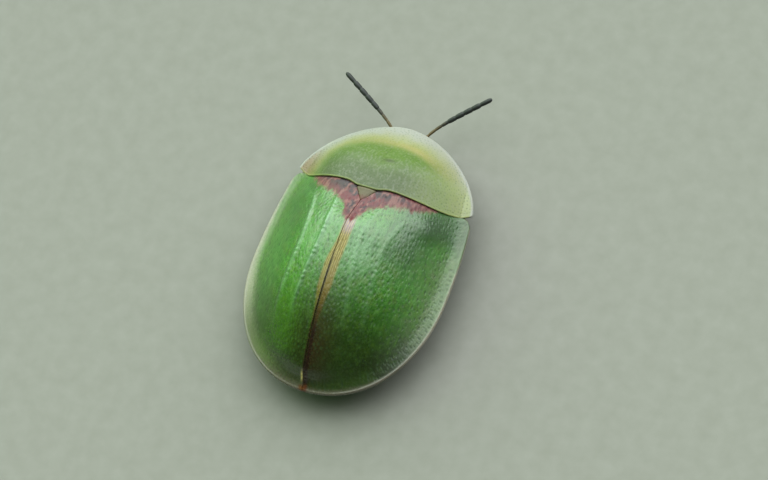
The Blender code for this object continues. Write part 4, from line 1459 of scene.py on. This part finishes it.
class GrowHead(bpy.types.Operator):
    """Grow the head under the pronotum, with eyes, jaws and palps."""

    bl_idname = "beetle.grow_head"
    bl_label = "Grow head"

    def execute(self, context):
        colours = context.scene.beetle_colours

        def capsule(unit, points):
            x, y, z = points.T
            front = smooth_step(-unit[:, 1] * 1.5)
            y = y + 0.07 * front * (1 - bell(unit[:, 1] + 1, 0.6))
            from_antenna = np.hypot(np.abs(x) - ANTENNA_SOCKET[0], z - ANTENNA_SOCKET[1])
            sockets = bell(from_antenna, 0.075)
            collars = bell(from_antenna - 0.085, 0.03)
            grooves = bell(np.abs(x) - (0.10 + 0.25 * np.maximum(-0.2 - z, 0)), 0.02) * (z < -0.2)
            crown = bell(x, 0.02) * (z > -0.2)
            y = y + front * (0.06 * sockets - 0.03 * collars + 0.02 * grooves + 0.015 * crown)
            y = y + front * 0.008 * punctured(points, 0.07, 0.025, 61)
            return np.stack([x, y, z], -1), 0.1 + 0.5 * collars * front

        head = shaped_ball("head_capsule", (0, 0.93, -0.18), (0.47, 0.30, 0.34), 96, 64, capsule)
        own(head, two_tone_material("head_chitin", colours.head, colours.mouth, 0.05, 0.35, 0.45, 0.9),
            "head", "head")
        eyes = eye_material(colours)

        def cornea(unit, points):
            waist = 1 - 0.10 * bell(unit[:, 2] + 0.2, 0.35) * (unit[:, 1] < 0.2)
            points[:, 1] = 0.95 + (points[:, 1] - 0.95) * waist
            return points, 0 * unit[:, 0]

        for name, side in (("left", 1), ("right", -1)):
            eye = shaped_ball(f"eye_{name}_cornea", (side * 0.455, 0.93, -0.14), (0.12, 0.17, 0.22),
                              48, 32, cornea)
            own(eye, eyes, "eyes", f"eye_{name}")
        mouth = two_tone_material("jaw_chitin", colours.mouth, colours.claw, 0.04, 0.3, 0.5, 1.0)
        made = [limb("lip", ((0, 0.74, -0.44), (0, 0.71, -0.53), (0, 0.73, -0.62)),
                     (0.10, 0.17, 0.19, 0.20, 0.195, 0.185, 0.18, 0.17, 0.15, 0.11, 0.05),
                     thickest=0.035, tone=0.2, upright=(0.0, 1.0, 0.0))]
        for side in (1, -1):
            knots = ((0.17 * side, 0.86, -0.48), (0.19 * side, 0.80, -0.62), (0.05 * side, 0.76, -0.71))
            widths = (0.03, 0.07, 0.075, 0.075, 0.07, 0.065, 0.055, 0.045, 0.035, 0.022, 0.008)
            made.append(limb("jaw", knots, widths, 0.8))
            knots = ((0.14 * side, 0.98, -0.56), (0.22 * side, 0.92, -0.68), (0.20 * side, 0.82, -0.73))
            widths = (0.02, 0.032, 0.03, 0.022, 0.034, 0.034, 0.022, 0.036, 0.038, 0.036, 0.03, 0.02,
                      0.006)
            made.append(limb("palp", knots, widths, sides=12))
            knots = ((0.07 * side, 1.02, -0.60), (0.10 * side, 0.97, -0.70), (0.08 * side, 0.90, -0.73))
            widths = (0.016, 0.026, 0.018, 0.028, 0.02, 0.028, 0.026, 0.016, 0.005)
            made.append(limb("lip_palp", knots, widths, sides=12))
        jaws = joined("mouth_jaws_palps", made)
        own(jaws, mouth, "mouthparts", "mouthparts")
        return {"FINISHED"}


# Stage

class SetStage(bpy.types.Operator):
    """Lay the pale floor, set the soft lights and place the camera."""

    bl_idname = "beetle.set_stage"
    bl_label = "Set stage"

    def execute(self, context):
        scene = context.scene
        settings = scene.beetle_stage
        scene.view_settings.view_transform = "Standard"
        clear_selection()
        bpy.ops.mesh.primitive_plane_add(size=settings.floor_size)
        floor = context.object
        floor.name = floor.data.name = "pale_floor"
        # Matt painted board: pale, dull, with a faint tooth
        material, tree, shader = new_material("floor_painted_board", Roughness=0.85)
        tooth = grain(tree, 0.4, 2.0)
        colour = blended(tree, settings.floor, WHITE, times(tree, tooth, 0.06))
        tree.links.new(colour, shader.inputs["Base Color"])
        floor.data.materials.append(material)
        self.sky(scene, settings)
        self.low_light(settings)
        self.camera(scene)
        return {"FINISHED"}

    def sky(self, scene, settings):
        """A wide soft light ahead of and above the beetle, fading to a dim fill all round it."""
        world = scene.world or bpy.data.worlds.new("World")
        scene.world = world
        world.use_nodes = True
        tree = world.node_tree
        direction = add_node(tree, "ShaderNodeTexCoord").outputs["Generated"]
        ahead = add_node(tree, "ShaderNodeVectorMath", {0: direction, 1: LIGHT_LEAN},
                         operation="DOT_PRODUCT").outputs["Value"]
        above = add_node(tree, "ShaderNodeSeparateXYZ", {0: direction}).outputs["Z"]
        lit_ahead, lit_above = between(tree, ahead, *LIGHT_EDGE), between(tree, above, *LIGHT_RISE)
        strength = reckon(tree, "MULTIPLY_ADD", times(tree, lit_ahead, lit_above),
                          settings.key - settings.fill, settings.fill)
        background = tree.nodes["Background"]
        background.inputs["Color"].default_value = (*settings.light, 1.0)
        tree.links.new(strength, background.inputs["Strength"])

    def low_light(self, settings):
        """A weak green light from low on the beetle's left."""
        clear_selection()
        bpy.ops.object.light_add(type="SUN", rotation=(0.0, math.radians(90 - LOW_LIGHT_ELEVATION), 0.0))
        low = bpy.context.object
        low.name = low.data.name = "low_green_light"
        low.data.energy, low.data.angle = settings.low, math.radians(LOW_LIGHT_ANGLE)
        low.data.color = settings.low_light

    def camera(self, scene):
        """The photograph's view, from above and behind the beetle's right side."""
        clear_selection()
        bpy.ops.object.camera_add()
        camera = bpy.context.object
        camera.name = camera.data.name = "photo_view"
        turn, rise, roll = (math.radians(a) for a in (VIEW_AZIMUTH, VIEW_ELEVATION, VIEW_ROLL))
        back = Vector((math.sin(turn) * math.cos(rise), -math.cos(turn) * math.cos(rise), math.sin(rise)))
        right = Vector((0, 0, 1)).cross(back).normalized()
        up = back.cross(right)
        right, up = (right * math.cos(roll) + up * math.sin(roll),
                     up * math.cos(roll) - right * math.sin(roll))
        turned = Matrix((right, up, back)).transposed().to_4x4()
        centre = (Vector(VIEW_TARGET) + back * VIEW_DISTANCE) * MM
        camera.matrix_world = Matrix.Translation(centre) @ turned
        lens = camera.data
        lens.sensor_width = SENSOR_WIDTH
        lens.lens = VIEW_PIXELS_PER_MM * VIEW_DISTANCE * SENSOR_WIDTH / PHOTO_SIZE[0]
        lens.shift_x = (PHOTO_SIZE[0] / 2 - TARGET_PIXEL[0]) / PHOTO_SIZE[0]
        lens.shift_y = (TARGET_PIXEL[1] - PHOTO_SIZE[1] / 2) / PHOTO_SIZE[0]
        lens.clip_start, lens.clip_end = 0.001, 10.0
        scene.camera = camera


class BeetlePanel(bpy.types.Panel):
    """The beetle's settings and steps."""

    bl_idname = "VIEW3D_PT_beetle"
    bl_label = "Tortoise beetle"
    bl_space_type = "VIEW_3D"
    bl_region_type = "UI"
    bl_category = "Beetle"

    def draw(self, context):
        column = self.layout.column(align=True)
        for operator in STEPS:
            column.operator(operator.bl_idname)
        for group in ("beetle_shell", "beetle_colours", "beetle_stage"):
            settings = getattr(context.scene, group)
            box = self.layout.box()
            for name in settings.__annotations__:
                box.prop(settings, name)


STEPS = (GrowElytra, GrowPronotum, GrowScutellum, GrowTrunk, GrowHead, GrowAntennae, GrowLegs, SetStage)
GROUPS = {"beetle_shell": BeetleShell, "beetle_colours": BeetleColours, "beetle_stage": BeetleStage}


def register():
    for made in (*GROUPS.values(), *STEPS, BeetlePanel):
        bpy.utils.register_class(made)
    for name, group in GROUPS.items():
        setattr(bpy.types.Scene, name, bpy.props.PointerProperty(type=group))


def unregister():
    for name in GROUPS:
        delattr(bpy.types.Scene, name)
    for made in reversed((*GROUPS.values(), *STEPS, BeetlePanel)):
        bpy.utils.unregister_class(made)


def main():
    register()
    for step in STEPS:
        getattr(bpy.ops.beetle, step.bl_idname.split(".")[1])()
    bpy.context.view_layer.update()


if __name__ == "__main__":
    main()
